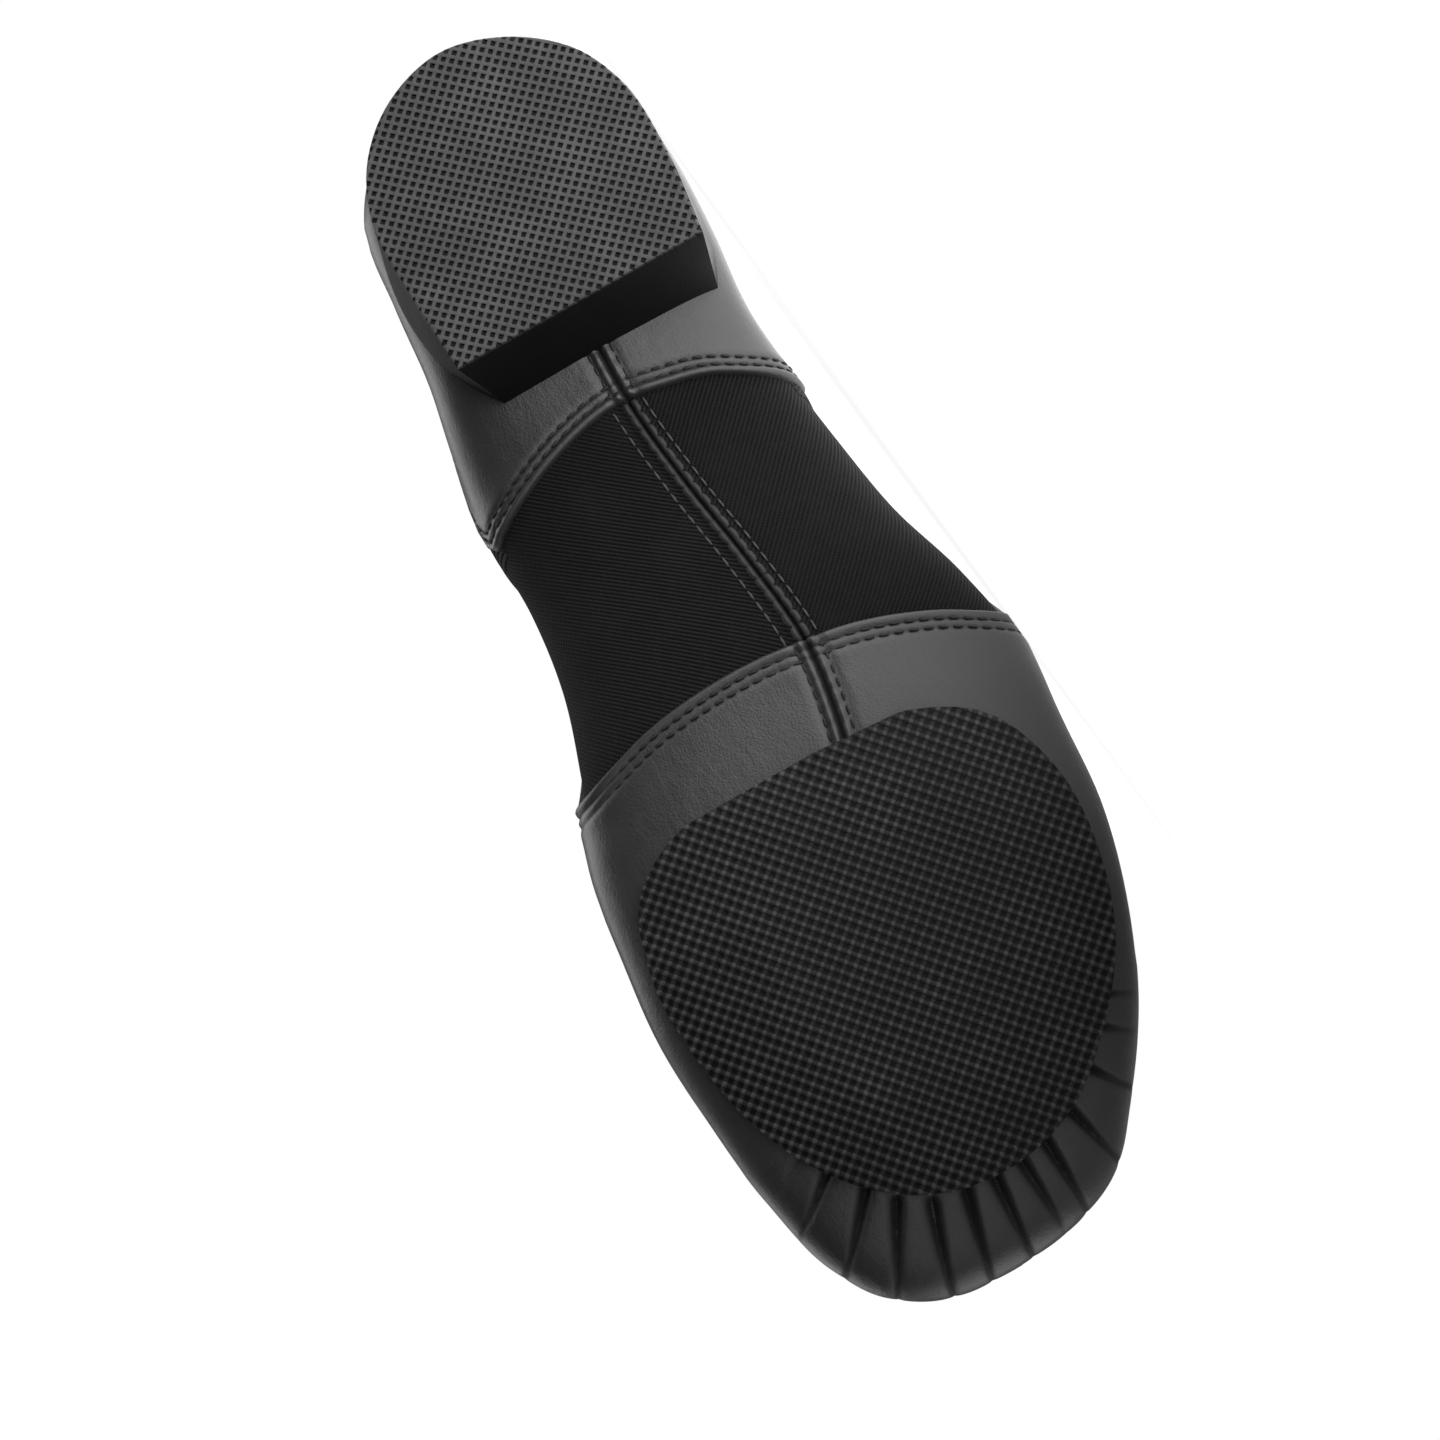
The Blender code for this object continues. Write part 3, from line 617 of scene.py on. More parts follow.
def toe_folds(side, stations, turns):
    """Fall into the toe's folds and rise between them, and how deep in a fold each place is, which paints
    shade down in the folds.
    """
    points = LAST.read(LAST.points, side, stations, turns)
    radius = np.hypot(points[..., 0] - TOE_HUB[0], points[..., 1] - TOE_HUB[1])
    direction = side_of_toe(stations, side)
    slide = np.clip((turns - PLEAT_START) / (1.0 - PLEAT_START), 0.0, 1.4)
    lines = [pleat.near + (pleat.far - pleat.near) * slide for pleat in PLEATS]
    started = ease((turns - PLEAT_START) / 0.04)
    lift = np.zeros_like(turns)
    depth = np.zeros_like(turns)
    for pleat, line in zip(PLEATS, lines):
        away = np.radians(np.abs(direction - line)) * radius
        fade = started * ease((pleat.end - turns) / PLEAT_EASE)
        half_width = PLEAT_HALF_WIDTH * (1.1 - 0.68 * np.minimum(slide, 1.0))
        groove = np.exp(-(away / half_width) ** 1.6) * fade
        lift -= pleat.depth * groove * (1.4 - 1.33 * ease((slide - 0.15) / 0.75))
        depth = np.maximum(depth, np.minimum(2.2 * groove, 1.0) * min(pleat.depth / 0.0009, 1.0))
    for first, second, high, low in zip(PLEATS, PLEATS[1:], lines, lines[1:]):
        share = np.clip((high - direction) / (high - low), 0.0, 1.0)
        end = (first.end + second.end) / 2
        fade = started * ease((end + 0.06 - turns) / (2 * PLEAT_EASE))
        full = min(first.depth, second.depth) / PLEATS[3].depth
        lift += LOBE_HEIGHT * full * np.sin(math.pi * share) ** 0.6 * fade
    round_toe = ease((points[..., 0] - TOE_HUB[0]) / 0.02)
    round_toe *= ease((direction - SWELL_REACH[0]) / (SWELL_REACH[1] - SWELL_REACH[0]))
    lift += TOE_SWELL * round_toe * ease((turns - 0.7) / 0.2) * (1 - ease((turns - 1.1) / 0.4))
    return lift, depth


def from_edge(edges, side, turns, steps):
    """Columns at distances in front of an edge, or behind it where they are below 0."""
    return np.array([[edges.at(turn) + step * MM / LAST_LENGTH for turn in turns] for step in steps])


def sheet_net(name, side, stations, turns, lift):
    """One side of a sheet of the upper."""
    points = LAST.surface(side, stations, turns, lift)
    piece = add_net(name, points, flip=side == "inner")
    girth = LAST.read(LAST.girths, side, stations, turns)
    ground = LAST.read(LAST.points, side, stations, turns)
    set_uv(piece, np.stack([ground[..., 0], girth * SIDES[side]], axis=-1))
    return piece


# How far the stitched edge of the forefoot leather stands off at the sides, and over what distance
EDGE_FLARE = {"inner": 0.7 * MM, "outer": 0.3 * MM}
FLARE_REACH = 5.0 * MM


def build_vamp():
    """Leather of the forefoot: twice stitched turned edge, seam up to the sole, gathered toe."""
    rows = turn_rows(*VAMP_ROWS)
    rows = np.concatenate([rows[rows < 1.5], np.linspace(1.5, 2.0, 24)])
    halves = []
    for side in SIDES:
        edges = EDGE_CURVES["vamp_" + side]
        edge_columns = from_edge(edges, side, rows, EDGE_STEPS)
        last_of_edge, toe = edge_columns[-1], TOE_CENTRE + TOE_EASE
        middle = [last_of_edge + (toe - last_of_edge) * k / 20 for k in range(1, 20)]
        alongs = np.concatenate([edge_columns, middle])
        stations = station_of(side, alongs)
        tip = np.linspace(station_of(side, toe), 1.0, 150)
        stations = np.concatenate([stations, np.repeat(tip[:, None], len(rows), axis=1)])
        turns = np.broadcast_to(rows, stations.shape)
        away = np.full(stations.shape, EDGE_RISE[-1].away * MM)
        away[:len(EDGE_STEPS)] = np.array(EDGE_STEPS)[:, None] * MM
        seam = seam_lift(side, stations, turns)
        seam[len(alongs):] = 0.0
        folds, depth = toe_folds(side, stations, turns)
        flare = EDGE_FLARE[side] * np.exp(-away / FLARE_REACH) * ease((turns - 0.68) / 0.2)
        flare *= 1 - ease((turns - 1.2) / 0.4)
        net = sheet_net("vamp", side, stations, turns, edge_lift(away) + seam + folds + flare)
        groove = groove_mark(side, stations, turns, away)
        groove[len(alongs):] = 0.0
        # The fold mark paints shade down in the toe's folds, the stitched grooves and the seam.
        set_mark(net, "fold", np.maximum(depth, groove))
        halves.append(net)
    return build_sheet("vamp", halves, LEATHER_WALL, 55)


def build_quarter():
    """Leather of the heel, wrapped under the foot up to its twice stitched front edge."""
    rows = turn_rows(*SIDE_ROWS)
    halves = []
    for side in SIDES:
        edges = EDGE_CURVES["quarter_" + side]
        start = HEEL_CENTRE - HEEL_EASE
        edge_columns = from_edge(edges, side, rows, [-step for step in EDGE_STEPS[::-1]])
        first_of_edge = edge_columns[0]
        middle = [start + (first_of_edge - start) * k / 18 for k in range(18)]
        alongs = np.concatenate([middle, edge_columns])
        stations = station_of(side, alongs)
        heel = np.linspace(0.0, station_of(side, start), 25)[:-1]
        stations = np.concatenate([np.repeat(heel[:, None], len(rows), axis=1), stations])
        turns = np.broadcast_to(rows, stations.shape)
        away = np.full(stations.shape, EDGE_RISE[-1].away * MM)
        away[-len(EDGE_STEPS):] = np.array(EDGE_STEPS[::-1])[:, None] * MM
        lift = edge_lift(away)
        lift[len(heel):] += seam_lift(side, stations[len(heel):], turns[len(heel):])
        net = sheet_net("quarter", side, stations, turns, lift)
        groove = groove_mark(side, stations, turns, away)
        groove[:len(heel)] = 0.0
        # The fold mark paints shade down in the stitched grooves and the seam.
        set_mark(net, "fold", groove)
        halves.append(net)
    return build_sheet("quarter", halves, LEATHER_WALL, 55)


def build_arch(side):
    """Half of the stretch twill under the arch and up the side, with its edges under the leathers."""
    rows = turn_rows(*SIDE_ROWS)
    gore = EDGE_CURVES["gore_" + side].at(rows)
    tuck = ARCH_TUCK / LAST_LENGTH * (1 - ease((rows - 0.80) / 0.08))
    front = EDGE_CURVES["vamp_" + side].at(rows) + ARCH_TUCK / LAST_LENGTH
    shares = np.concatenate([[0.0, 0.006, 0.015, 0.03, 0.05], np.linspace(0.08, 1.0, 36)])
    alongs = np.array([(gore - tuck) * (1 - share) + front * share for share in shares])
    stations = station_of(side, alongs)
    turns = np.broadcast_to(rows, stations.shape)
    fold = (1 - ease(shares[:, None] / 0.04)) * ease((rows - 0.86) / 0.1) * 0.5 * MM
    fold[0] *= 0.2
    lift = CLOTH - 0.04 * MM + 0.7 * seam_lift(side, stations, turns) + fold
    return build_sheet("arch_" + side, [sheet_net("arch", side, stations, turns, lift)], ARCH_WALL, 50)


FOLD_PROFILE = Curve((0.0, 0.3, 0.9, 1.5, 1.9), (-0.55, 0.05, 0.62, 0.3, -0.3))
ARCH_ROWS = {"inner": 3.6 * MM, "outer": 2.8 * MM}
FOLD_SPAN = (0.301, 0.535)


def build_seam_folds():
    """Cloth folded open on both sides of the arch's seam, drawn in at every stitch."""
    halves = []
    away = np.linspace(0.0, 1.9, 10)
    for side in SIDES:
        alongs = np.linspace(*FOLD_SPAN, 176)
        stations = station_of(side, alongs)
        half_girth = LAST.read(LAST.girths, side, stations, np.ones_like(stations)) / MM
        puff = np.abs(np.sin(math.pi * place_x(alongs) / PUFF_PITCH))[:, None] ** 0.5
        turns = away[None, :] * (0.82 + 0.18 * puff) / half_girth[:, None]
        stations = np.repeat(stations[:, None], len(away), axis=1)
        rise = FOLD_PROFILE.at(away)[None, :]
        lift = CLOTH + np.where(rise > 0, rise * (0.05 + 0.95 * puff), rise - 0.3 * (1 - puff)) * MM
        net = sheet_net("folds", side, stations, turns, lift)
        # The fold mark paints shade in the seam's groove, at the pinch by each stitch and along the strip's
        # outer edge.
        centre = np.exp(-(away / 0.4) ** 2)[None, :]
        pinch = np.maximum(1 - puff, 0.0) ** 1.5
        set_mark(net, "fold", np.clip(centre + 0.8 * pinch + (away > 1.7)[None, :] * 0.6, 0.0, 1.0))
        halves.append(net)
    return build_sheet("arch_seam", halves, FOLD_WALL, 60, FOLD_WELD)


def build_gore(side):
    """Elastic V between the heel leather and the twill."""
    rows = np.linspace(0.84, 2.0, 40)
    back = EDGE_CURVES["quarter_" + side].at(rows) - ARCH_TUCK / LAST_LENGTH
    front = EDGE_CURVES["gore_" + side].at(rows) + GORE_TUCK / LAST_LENGTH
    shares = np.linspace(0, 1, 36)
    alongs = np.array([back + (front - back) * share for share in shares])
    stations = station_of(side, alongs)
    turns = np.broadcast_to(rows, stations.shape)
    bulge = np.sin(math.pi * shares)[:, None] * np.sin(math.pi * (rows - rows[0]) / (rows[-1] - rows[0]))
    lift = CLOTH - 0.1 * MM + 1.1 * MM * np.sqrt(np.maximum(bulge, 0.0))
    return build_sheet("gore_" + side, [sheet_net("gore", side, stations, turns, lift)], GORE_WALL, 50)


# Binding and stitches

BINDING_SECTION = (
    (-1.75, -5.0), (-1.85, -3.0), (-1.8, -1.0), (-1.35, 0.4), (-0.6, 1.0), (0.2, 1.1),
    (1.0, 0.9), (1.65, 0.2), (1.95, -1.0), (2.0, -3.0), (1.85, -4.9), (1.4, -5.1),
    (1.2, -3.0), (0.9, -0.6), (-0.6, -0.4), (-1.0, -3.0), (-1.3, -5.1),
)


def collar_path(count):
    """Places along the collar's edge, from the throat round the heel and back."""
    ends = {side: station_of(side, THROAT) for side in SIDES}
    inner = [("inner", ends["inner"] * (1 - k / count)) for k in range(count)]
    outer = [("outer", ends["outer"] * k / count) for k in range(count)]
    return inner + outer


def build_binding():
    """Leather strip folded over the collar's edge."""
    rings = []
    for side, station in collar_path(110):
        edge = LAST.surface(side, station, 2.0, 0.5 * LEATHER)
        below = LAST.surface(side, station, 1.93, 0.5 * LEATHER)
        outside = LAST.surface(side, station, 2.0, 1.5 * LEATHER)
        up = (edge - below) / np.linalg.norm(edge - below)
        out = (outside - edge) / np.linalg.norm(outside - edge)
        rings.append([edge + out * a * MM + up * b * MM for a, b in BINDING_SECTION])
    rings = np.array(rings)
    closed = np.concatenate([rings, rings[:1]])
    closed = np.concatenate([closed, closed[:, :1]], axis=1)
    binding = join("collar_binding", [add_net("binding", closed, flip=False)], 0.02 * MM)
    bpy.ops.object.mode_set(mode="EDIT")
    bpy.ops.mesh.select_all(action="SELECT")
    bpy.ops.mesh.normals_make_consistent(inside=False)
    bpy.ops.object.mode_set(mode="OBJECT")
    smooth(binding, 50)
    return binding


def thread_shape():
    """One short rounded stitch, along X, of a few faces."""
    bpy.ops.object.select_all(action="DESELECT")
    bpy.ops.mesh.primitive_uv_sphere_add(segments=8, ring_count=6, radius=1.0)
    thread = bpy.context.object
    bpy.ops.object.mode_set(mode="EDIT")
    bpy.ops.transform.rotate(value=math.pi / 2, orient_axis="Y", center_override=(0, 0, 0))
    bpy.ops.object.mode_set(mode="OBJECT")
    places = np.array([vert.co for vert in thread.data.vertices])
    faces = [tuple(face.vertices) for face in thread.data.polygons]
    bpy.data.objects.remove(thread)
    return places, faces


def row_points(side, along, turns, lift):
    """Fine points of a row of stitches and the outward direction at each."""
    stations = station_of(side, along)
    low = LAST.surface(side, stations, turns, lift)
    high = LAST.surface(side, stations, turns, lift + MM)
    return low, (high - low) / MM


def lay_stitches(name, rows, pitch, length, width):
    """Put stitches along rows of points, as one piece."""
    places, faces = thread_shape()
    half_length = length / 2
    all_places, all_faces = [], []
    for points, outward in rows:
        lengths = run_lengths(points)
        count = int(lengths[-1] / pitch)
        for k in range(count):
            middle = (k + 0.5) * lengths[-1] / count
            ends = [[np.interp(middle + shift, lengths, points[:, axis]) for axis in range(3)]
                    for shift in (-half_length, half_length)]
            out = np.array([np.interp(middle, lengths, outward[:, axis]) for axis in range(3)])
            ahead = np.array(ends[1]) - np.array(ends[0])
            size = np.linalg.norm(ahead)
            ahead /= size
            out /= np.linalg.norm(out)
            across = np.cross(out, ahead)
            centre = (np.array(ends[0]) + np.array(ends[1])) / 2
            shape = (places[:, :1] * ahead * half_length + places[:, 1:2] * across * width / 2
                     + places[:, 2:] * out * width * 0.42)
            start = len(all_places) * len(places)
            all_places.append(centre + shape)
            all_faces += [tuple(start + v for v in face) for face in faces]
    mesh = bpy.data.meshes.new(name)
    mesh.from_pydata(np.concatenate(all_places).tolist(), [], all_faces)
    piece = bpy.data.objects.new(name, mesh)
    bpy.context.scene.collection.objects.link(piece)
    smooth(piece, 80)
    return piece


EDGE_STITCH_LIFT = 2.16 * MM
SEAM_STITCH_LIFT = 2.14 * MM
STITCHED_TURNS = (0.03, 1.95)


def edge_rows(piece_name, direction):
    """Both rows of stitches along a leather's edge, on both sides of the foot."""
    rows = []
    for side in SIDES:
        turns = np.linspace(*STITCHED_TURNS, 160)
        for away in EDGE_GROOVES:
            along = EDGE_CURVES[f"{piece_name}_{side}"].at(turns) + direction * away * MM / LAST_LENGTH
            rows.append(row_points(side, along, turns, EDGE_STITCH_LIFT))
    return rows


def seam_rows(first, last, aways, lift):
    """Both rows of stitches along the seam under the foot."""
    rows = []
    for side in SIDES:
        along = np.linspace(first, last, 60)
        stations = station_of(side, along)
        half_girth = LAST.read(LAST.girths, side, stations, np.ones_like(stations))
        turns = aways[side] / half_girth
        rows.append(row_points(side, along, turns, lift))
    return rows


# Treads


def closed_ring(table, count):
    """Smooth closed outline through a table's places, read at even steps."""
    points = [(place_x(place.along), place.across * BALL_WIDTH) for place in table]
    ring = np.array([*points[-2:], *points, *points[:3]])
    knots = run_lengths(ring)
    start, end = knots[2], knots[len(points) + 2]
    curve = Curve(knots, ring)
    return curve.at(start + (end - start) * np.arange(count) / count)


def heel_ring(table, length, count, front_count):
    """Outline of the heel at one level: round sides and back from a table, and a straight front."""
    points = np.array([(p.along * length, p.across * HEEL_WIDTH) for p in table])
    knots = run_lengths(points)
    round_part = Curve(knots, points).at(np.linspace(0, knots[-1], count))
    shares = (np.arange(1, front_count) / front_count)[:, None]
    front = round_part[-1] * (1 - shares) + round_part[0] * shares
    return np.concatenate([round_part, front])


def tread_net(name, ring, angles, pitch, lines, levels):
    """Grid of crossing ridges over an outline, cut off along it, with a mark for how sunk each place is,
    which also paints shade in the pits.

    Lines are places across one pitch with a level from 0, a pit, to 1, a ridge, and levels give how
    sunk a place is where two pits, a ridge and a pit, or two ridges cross.
    """
    directions = [np.array((math.sin(math.radians(a)), -math.cos(math.radians(a)))) for a in angles]
    middle = (ring.min(axis=0) + ring.max(axis=0)) / 2
    reach = np.linalg.norm(ring - middle, axis=1).max() * 1.06
    count = int(reach / pitch) + 1
    steps = np.array([k + line for k in range(-count, count) for line, ridge in lines]) * pitch
    ridge = np.array([ridge for k in range(-count, count) for line, ridge in lines])
    flat = middle + steps[:, None, None] * directions[0] + steps[None, :, None] * directions[1]
    sunk = np.interp(ridge[:, None] + ridge[None, :], (0, 1, 2), levels)
    points = np.concatenate([flat, sunk[..., None]], axis=2)
    net = add_net(name, points, flip=True)
    # The sunk level is also the mark for painted shade in the pits.
    set_mark(net, "pit", sunk)
    bpy.ops.object.mode_set(mode="EDIT")
    corners = len(ring)
    for k in range(corners):
        here, there = ring[k], ring[(k + 1) % corners]
        out = np.array((there[1] - here[1], here[0] - there[0]))
        out *= math.copysign(1.0, out.dot(here - middle)) / np.linalg.norm(out)
        bpy.ops.mesh.select_all(action="SELECT")
        bpy.ops.mesh.bisect(plane_co=(*here, 0), plane_no=(*out, 0), clear_outer=True, threshold=0.001 * MM)
    bpy.ops.object.mode_set(mode="OBJECT")
    return net


def under(tree, x, y):
    """Height of the upper's underside over a place on the ground."""
    hit = tree.ray_cast(Vector((x, y, -HEEL_HEIGHT)), Vector((0, 0, 1)))[0]
    return hit.z


def side_and_top(net, tree, middle, rim_rings, top_shares, sink):
    """Carry the tread's cut edge up the sides and over the top, which follows the upper."""
    bm = bmesh.new()
    bm.from_mesh(net.data)
    bmesh.ops.remove_doubles(bm, verts=bm.verts, dist=0.005 * MM)
    pit = bm.verts.layers.float["pit"]
    edges = [edge for edge in bm.edges if edge.is_boundary]
    start = {vert: vert for edge in edges for vert in edge.verts}
    for ring in rim_rings:
        made = {vert: bm.verts.new(ring(first)) for vert, first in start.items()}
        # The sides are marked for painted shade, near black.
        for vert in made.values():
            vert[pit] = SIDE_SHADE
        edges = [strip_between(bm, edge, made) for edge in edges]
        start = {made[vert]: first for vert, first in start.items()}
    rim = {vert: vert.co.copy() for vert in start}
    current = {vert: vert for vert in rim}
    for share in top_shares:
        made = {}
        for first, vert in current.items():
            x, y = middle + (np.array(rim[first][:2]) - middle) * share
            made[vert] = bm.verts.new((x, y, under(tree, x, y) + sink))
        edges = [strip_between(bm, edge, made) for edge in edges]
        current = {first: made[vert] for first, vert in current.items()}
    centre = bm.verts.new((*middle, under(tree, *middle) + sink))
    for edge in edges:
        bm.faces.new((*edge.verts, centre))
    bmesh.ops.recalc_face_normals(bm, faces=bm.faces)
    bm.to_mesh(net.data)
    bm.free()
    return net


def strip_between(bm, edge, made):
    """Face from an edge to its copy further on; gives the copy."""
    a, b = edge.verts
    bm.faces.new((a, b, made[b], made[a]))
    return bm.edges.get((made[a], made[b]))


def ring_share(ring, x, y):
    """Place along a closed ring that is nearest to a point, as a share of its points."""
    following = np.roll(ring, -1, axis=0)
    span = following - ring
    t = np.einsum("ij,ij->i", np.array((x, y)) - ring, span) / np.einsum("ij,ij->i", span, span)
    t = np.clip(t, 0, 1)
    away = np.linalg.norm(ring + span * t[:, None] - (x, y), axis=1)
    k = int(away.argmin())
    return k + t[k]


def ring_point(ring, share):
    """Point of a closed ring at a share of its points."""
    k = int(share) % len(ring)
    t = share - int(share)
    return ring[k] * (1 - t) + ring[(k + 1) % len(ring)] * t


SOLE_RING_STEPS = 64
HEEL_RING_STEPS = 72
FRONT_STEPS = 8
# Mark of the heel's and the sole's sides: full painted shade.
SIDE_SHADE = 1.0
HEEL_ANGLES = (42.6, 135.5)
# Sunk levels where two pits, a ridge and a pit, or two ridges cross: both depth and painted shade.
HEEL_SUNK = (0.95, 0.14, 0.14)
HEEL_RIDGE = 0.62 * MM
HEEL_BEVEL = 0.7 * MM
BALL_ANGLES = (48.9, 139.2)
# Sunk levels of the sole's crossings: both depth and painted shade.
BALL_SUNK = (1.0, 0.66, 0.0)
BALL_RIDGE = 0.5 * MM
HEEL_LINES = ((0.0, 1.0), (0.2, 0.9), (0.27, 0.0), (0.73, 0.0), (0.8, 0.9))
BALL_LINES = ((0.0, 1.0), (0.15, 0.8), (0.29, 0.0), (0.71, 0.0), (0.85, 0.8))


def build_heel(tree):
    """Rubber heel: crossing ridges with square pits, small bevel, flared sides, slanted plain front."""
    tread = heel_ring(HEEL_TREAD, HEEL_LENGTH, HEEL_RING_STEPS, FRONT_STEPS)
    seat = heel_ring(HEEL_SEAT, HEEL_LENGTH + BREAST_SLANT, HEEL_RING_STEPS, FRONT_STEPS)
    middle = np.array((HEEL_LENGTH * 0.55, 0.0))
    face = middle + (tread - middle) * (1 - 0.35 * MM / (HEEL_WIDTH / 2))
    net = tread_net("heel_block", face, HEEL_ANGLES, settings().heel_pitch, HEEL_LINES, HEEL_SUNK)
    for vert in net.data.vertices:
        vert.co.z *= HEEL_RIDGE

    def bevel(vert):
        point = ring_point(tread, ring_share(face, vert.co.x, vert.co.y))
        return (*point, HEEL_BEVEL)

    def level(share):
        def ring(vert):
            where = ring_share(face, vert.co.x, vert.co.y)
            low, high = ring_point(tread, where), ring_point(seat, where)
            top = under(tree, *high) + 0.15 * MM
            return (*(low + (high - low) * share), HEEL_BEVEL + (top - HEEL_BEVEL) * share)
        return ring

    rims = [bevel] + [level(share) for share in (0.12, 0.4, 0.7, 0.92, 1.0)]
    side_and_top(net, tree, middle, rims, (0.9, 0.7, 0.45, 0.2), 0.1 * MM)
    smooth(net, 30)
    return net


def build_ball_sole(tree):
    """Thin rubber sole under the ball with rows of small bumps, domed along the leather."""
    ring = closed_ring(SOLE_OUTLINE, SOLE_RING_STEPS)
    middle = np.array((place_x(SOLE_CENTRE), TOE_HUB[1]))
    net = tread_net("ball_sole", ring, BALL_ANGLES, settings().ball_pitch, BALL_LINES, BALL_SUNK)

    def base(x, y):
        outward = np.array((x, y)) - middle
        rim = ring_point(ring, ring_share(ring, *(middle + outward * 3)))
        share = min(1.0, np.linalg.norm(outward) / np.linalg.norm(rim - middle))
        thickness = SOLE_THICKNESS + (SOLE_EDGE - SOLE_THICKNESS) * share ** 6
        return max(0.0, under(tree, x, y) - thickness - 2 * CLEARANCE)

    for vert in net.data.vertices:
        vert.co.z = base(vert.co.x, vert.co.y) + vert.co.z * BALL_RIDGE

    def rim_low(vert):
        return (vert.co.x, vert.co.y, base(vert.co.x, vert.co.y) + 0.55 * MM)

    def rim_high(vert):
        x, y = middle + (np.array((vert.co.x, vert.co.y)) - middle) * 1.004
        return (x, y, under(tree, x, y) + 0.5 * MM)

    side_and_top(net, tree, middle, [rim_low, rim_high], (0.94, 0.8, 0.6, 0.35, 0.15), 0.1 * MM)
    smooth(net, 30)
    return net


# Materials


def connect(tree, value, socket):
    """Link a socket to an input, or set the input to a plain value."""
    if isinstance(value, bpy.types.NodeSocket):
        tree.links.new(value, socket)
    else:
        socket.default_value = value


def add_node(tree, kind, inputs=(), **values):
    """Node with its settings, and with inputs from pairs of a name or number and a value or socket."""
    node = tree.nodes.new(kind)
    for key, value in values.items():
        setattr(node, key, value)
    for label, value in dict(inputs).items():
        connect(tree, value, node.inputs[label])
    return node


def math_node(tree, operation, first, second=0.0):
    """Result of a math node on sockets or numbers."""
    return add_node(tree, "ShaderNodeMath", {0: first, 1: second}, operation=operation).outputs[0]


def object_place(tree):
    """Object coordinates."""
    return add_node(tree, "ShaderNodeTexCoord").outputs["Object"]


def mark_value(tree, name):
    """Value stored on the mesh by set_mark."""
    return add_node(tree, "ShaderNodeAttribute", attribute_name=name).outputs["Fac"]


def noise(tree, place, scale, detail, roughness=0.5, output="Fac"):
    """Noise over a place."""
    inputs = {"Vector": place, "Scale": scale, "Detail": detail, "Roughness": roughness}
    return add_node(tree, "ShaderNodeTexNoise", inputs).outputs[output]


def spread(tree, value, span, ends, **values):
    """A value carried from one span of numbers over to another."""
    inputs = {"Value": value, "From Min": span[0], "From Max": span[1], "To Min": ends[0], "To Max": ends[1]}
    return add_node(tree, "ShaderNodeMapRange", inputs, **values).outputs["Result"]


def mix_colour(tree, mask, first, second):
    """Mix two colours, sockets or plain values, by a mask."""
    first, second = (colour if isinstance(colour, bpy.types.NodeSocket) else (*colour, 1.0)
                     for colour in (first, second))
    inputs = {"Factor": mask, "A": first, "B": second}
    return add_node(tree, "ShaderNodeMix", inputs, data_type="RGBA").outputs["Result"]


def new_group(name, inputs, outputs):
    """Empty shader node group with named number inputs, at their usual values, and outputs."""
    group = bpy.data.node_groups.new(name, "ShaderNodeTree")
    for label, value in inputs.items():
        socket = group.interface.new_socket(label, in_out="INPUT", socket_type="NodeSocketFloat")
        socket.default_value = value
    for label in outputs:
        group.interface.new_socket(label, in_out="OUTPUT", socket_type="NodeSocketFloat")
    given, made = group.nodes.new("NodeGroupInput"), group.nodes.new("NodeGroupOutput")
    return group, given.outputs, made.inputs


def grain_group():
    """Fine leather grain, drawn out creases and soft unevenness, from Object coordinates."""
    group, given, made = new_group(
        "leather grain", {"Grain size": 0.0009, "Grain": 0.5, "Crease": 0.4}, ("Height", "Mottle"))
    place = object_place(group)
    warp = noise(group, place, 900.0, 2.0, output="Color")
    warped = add_node(group, "ShaderNodeMix", {"Factor": 0.0006, "A": place, "B": warp}, data_type="VECTOR")
    scale = math_node(group, "DIVIDE", 1.0, given["Grain size"])
    cells = add_node(group, "ShaderNodeTexVoronoi", {"Vector": warped.outputs["Result"], "Scale": scale},
                     feature="DISTANCE_TO_EDGE")
    bumps = math_node(group, "MINIMUM", cells.outputs["Distance"], 0.22)
    drawn = add_node(group, "ShaderNodeMapping", {"Vector": place, "Scale": (0.3, 1.0, 1.0)})
    creases = noise(group, drawn.outputs["Vector"], 420.0, 4.0, 0.6)
    total = math_node(group, "MULTIPLY", bumps, given["Grain"])
    soft = math_node(group, "MULTIPLY", noise(group, place, 160.0, 5.0, 0.6), 0.8)
    total = math_node(group, "ADD", total, soft)
    total = math_node(group, "ADD", total, math_node(group, "MULTIPLY", creases, given["Crease"]))
    connect(group, total, made["Height"])
    connect(group, noise(group, place, 45.0, 4.0, 0.55), made["Mottle"])
    return group


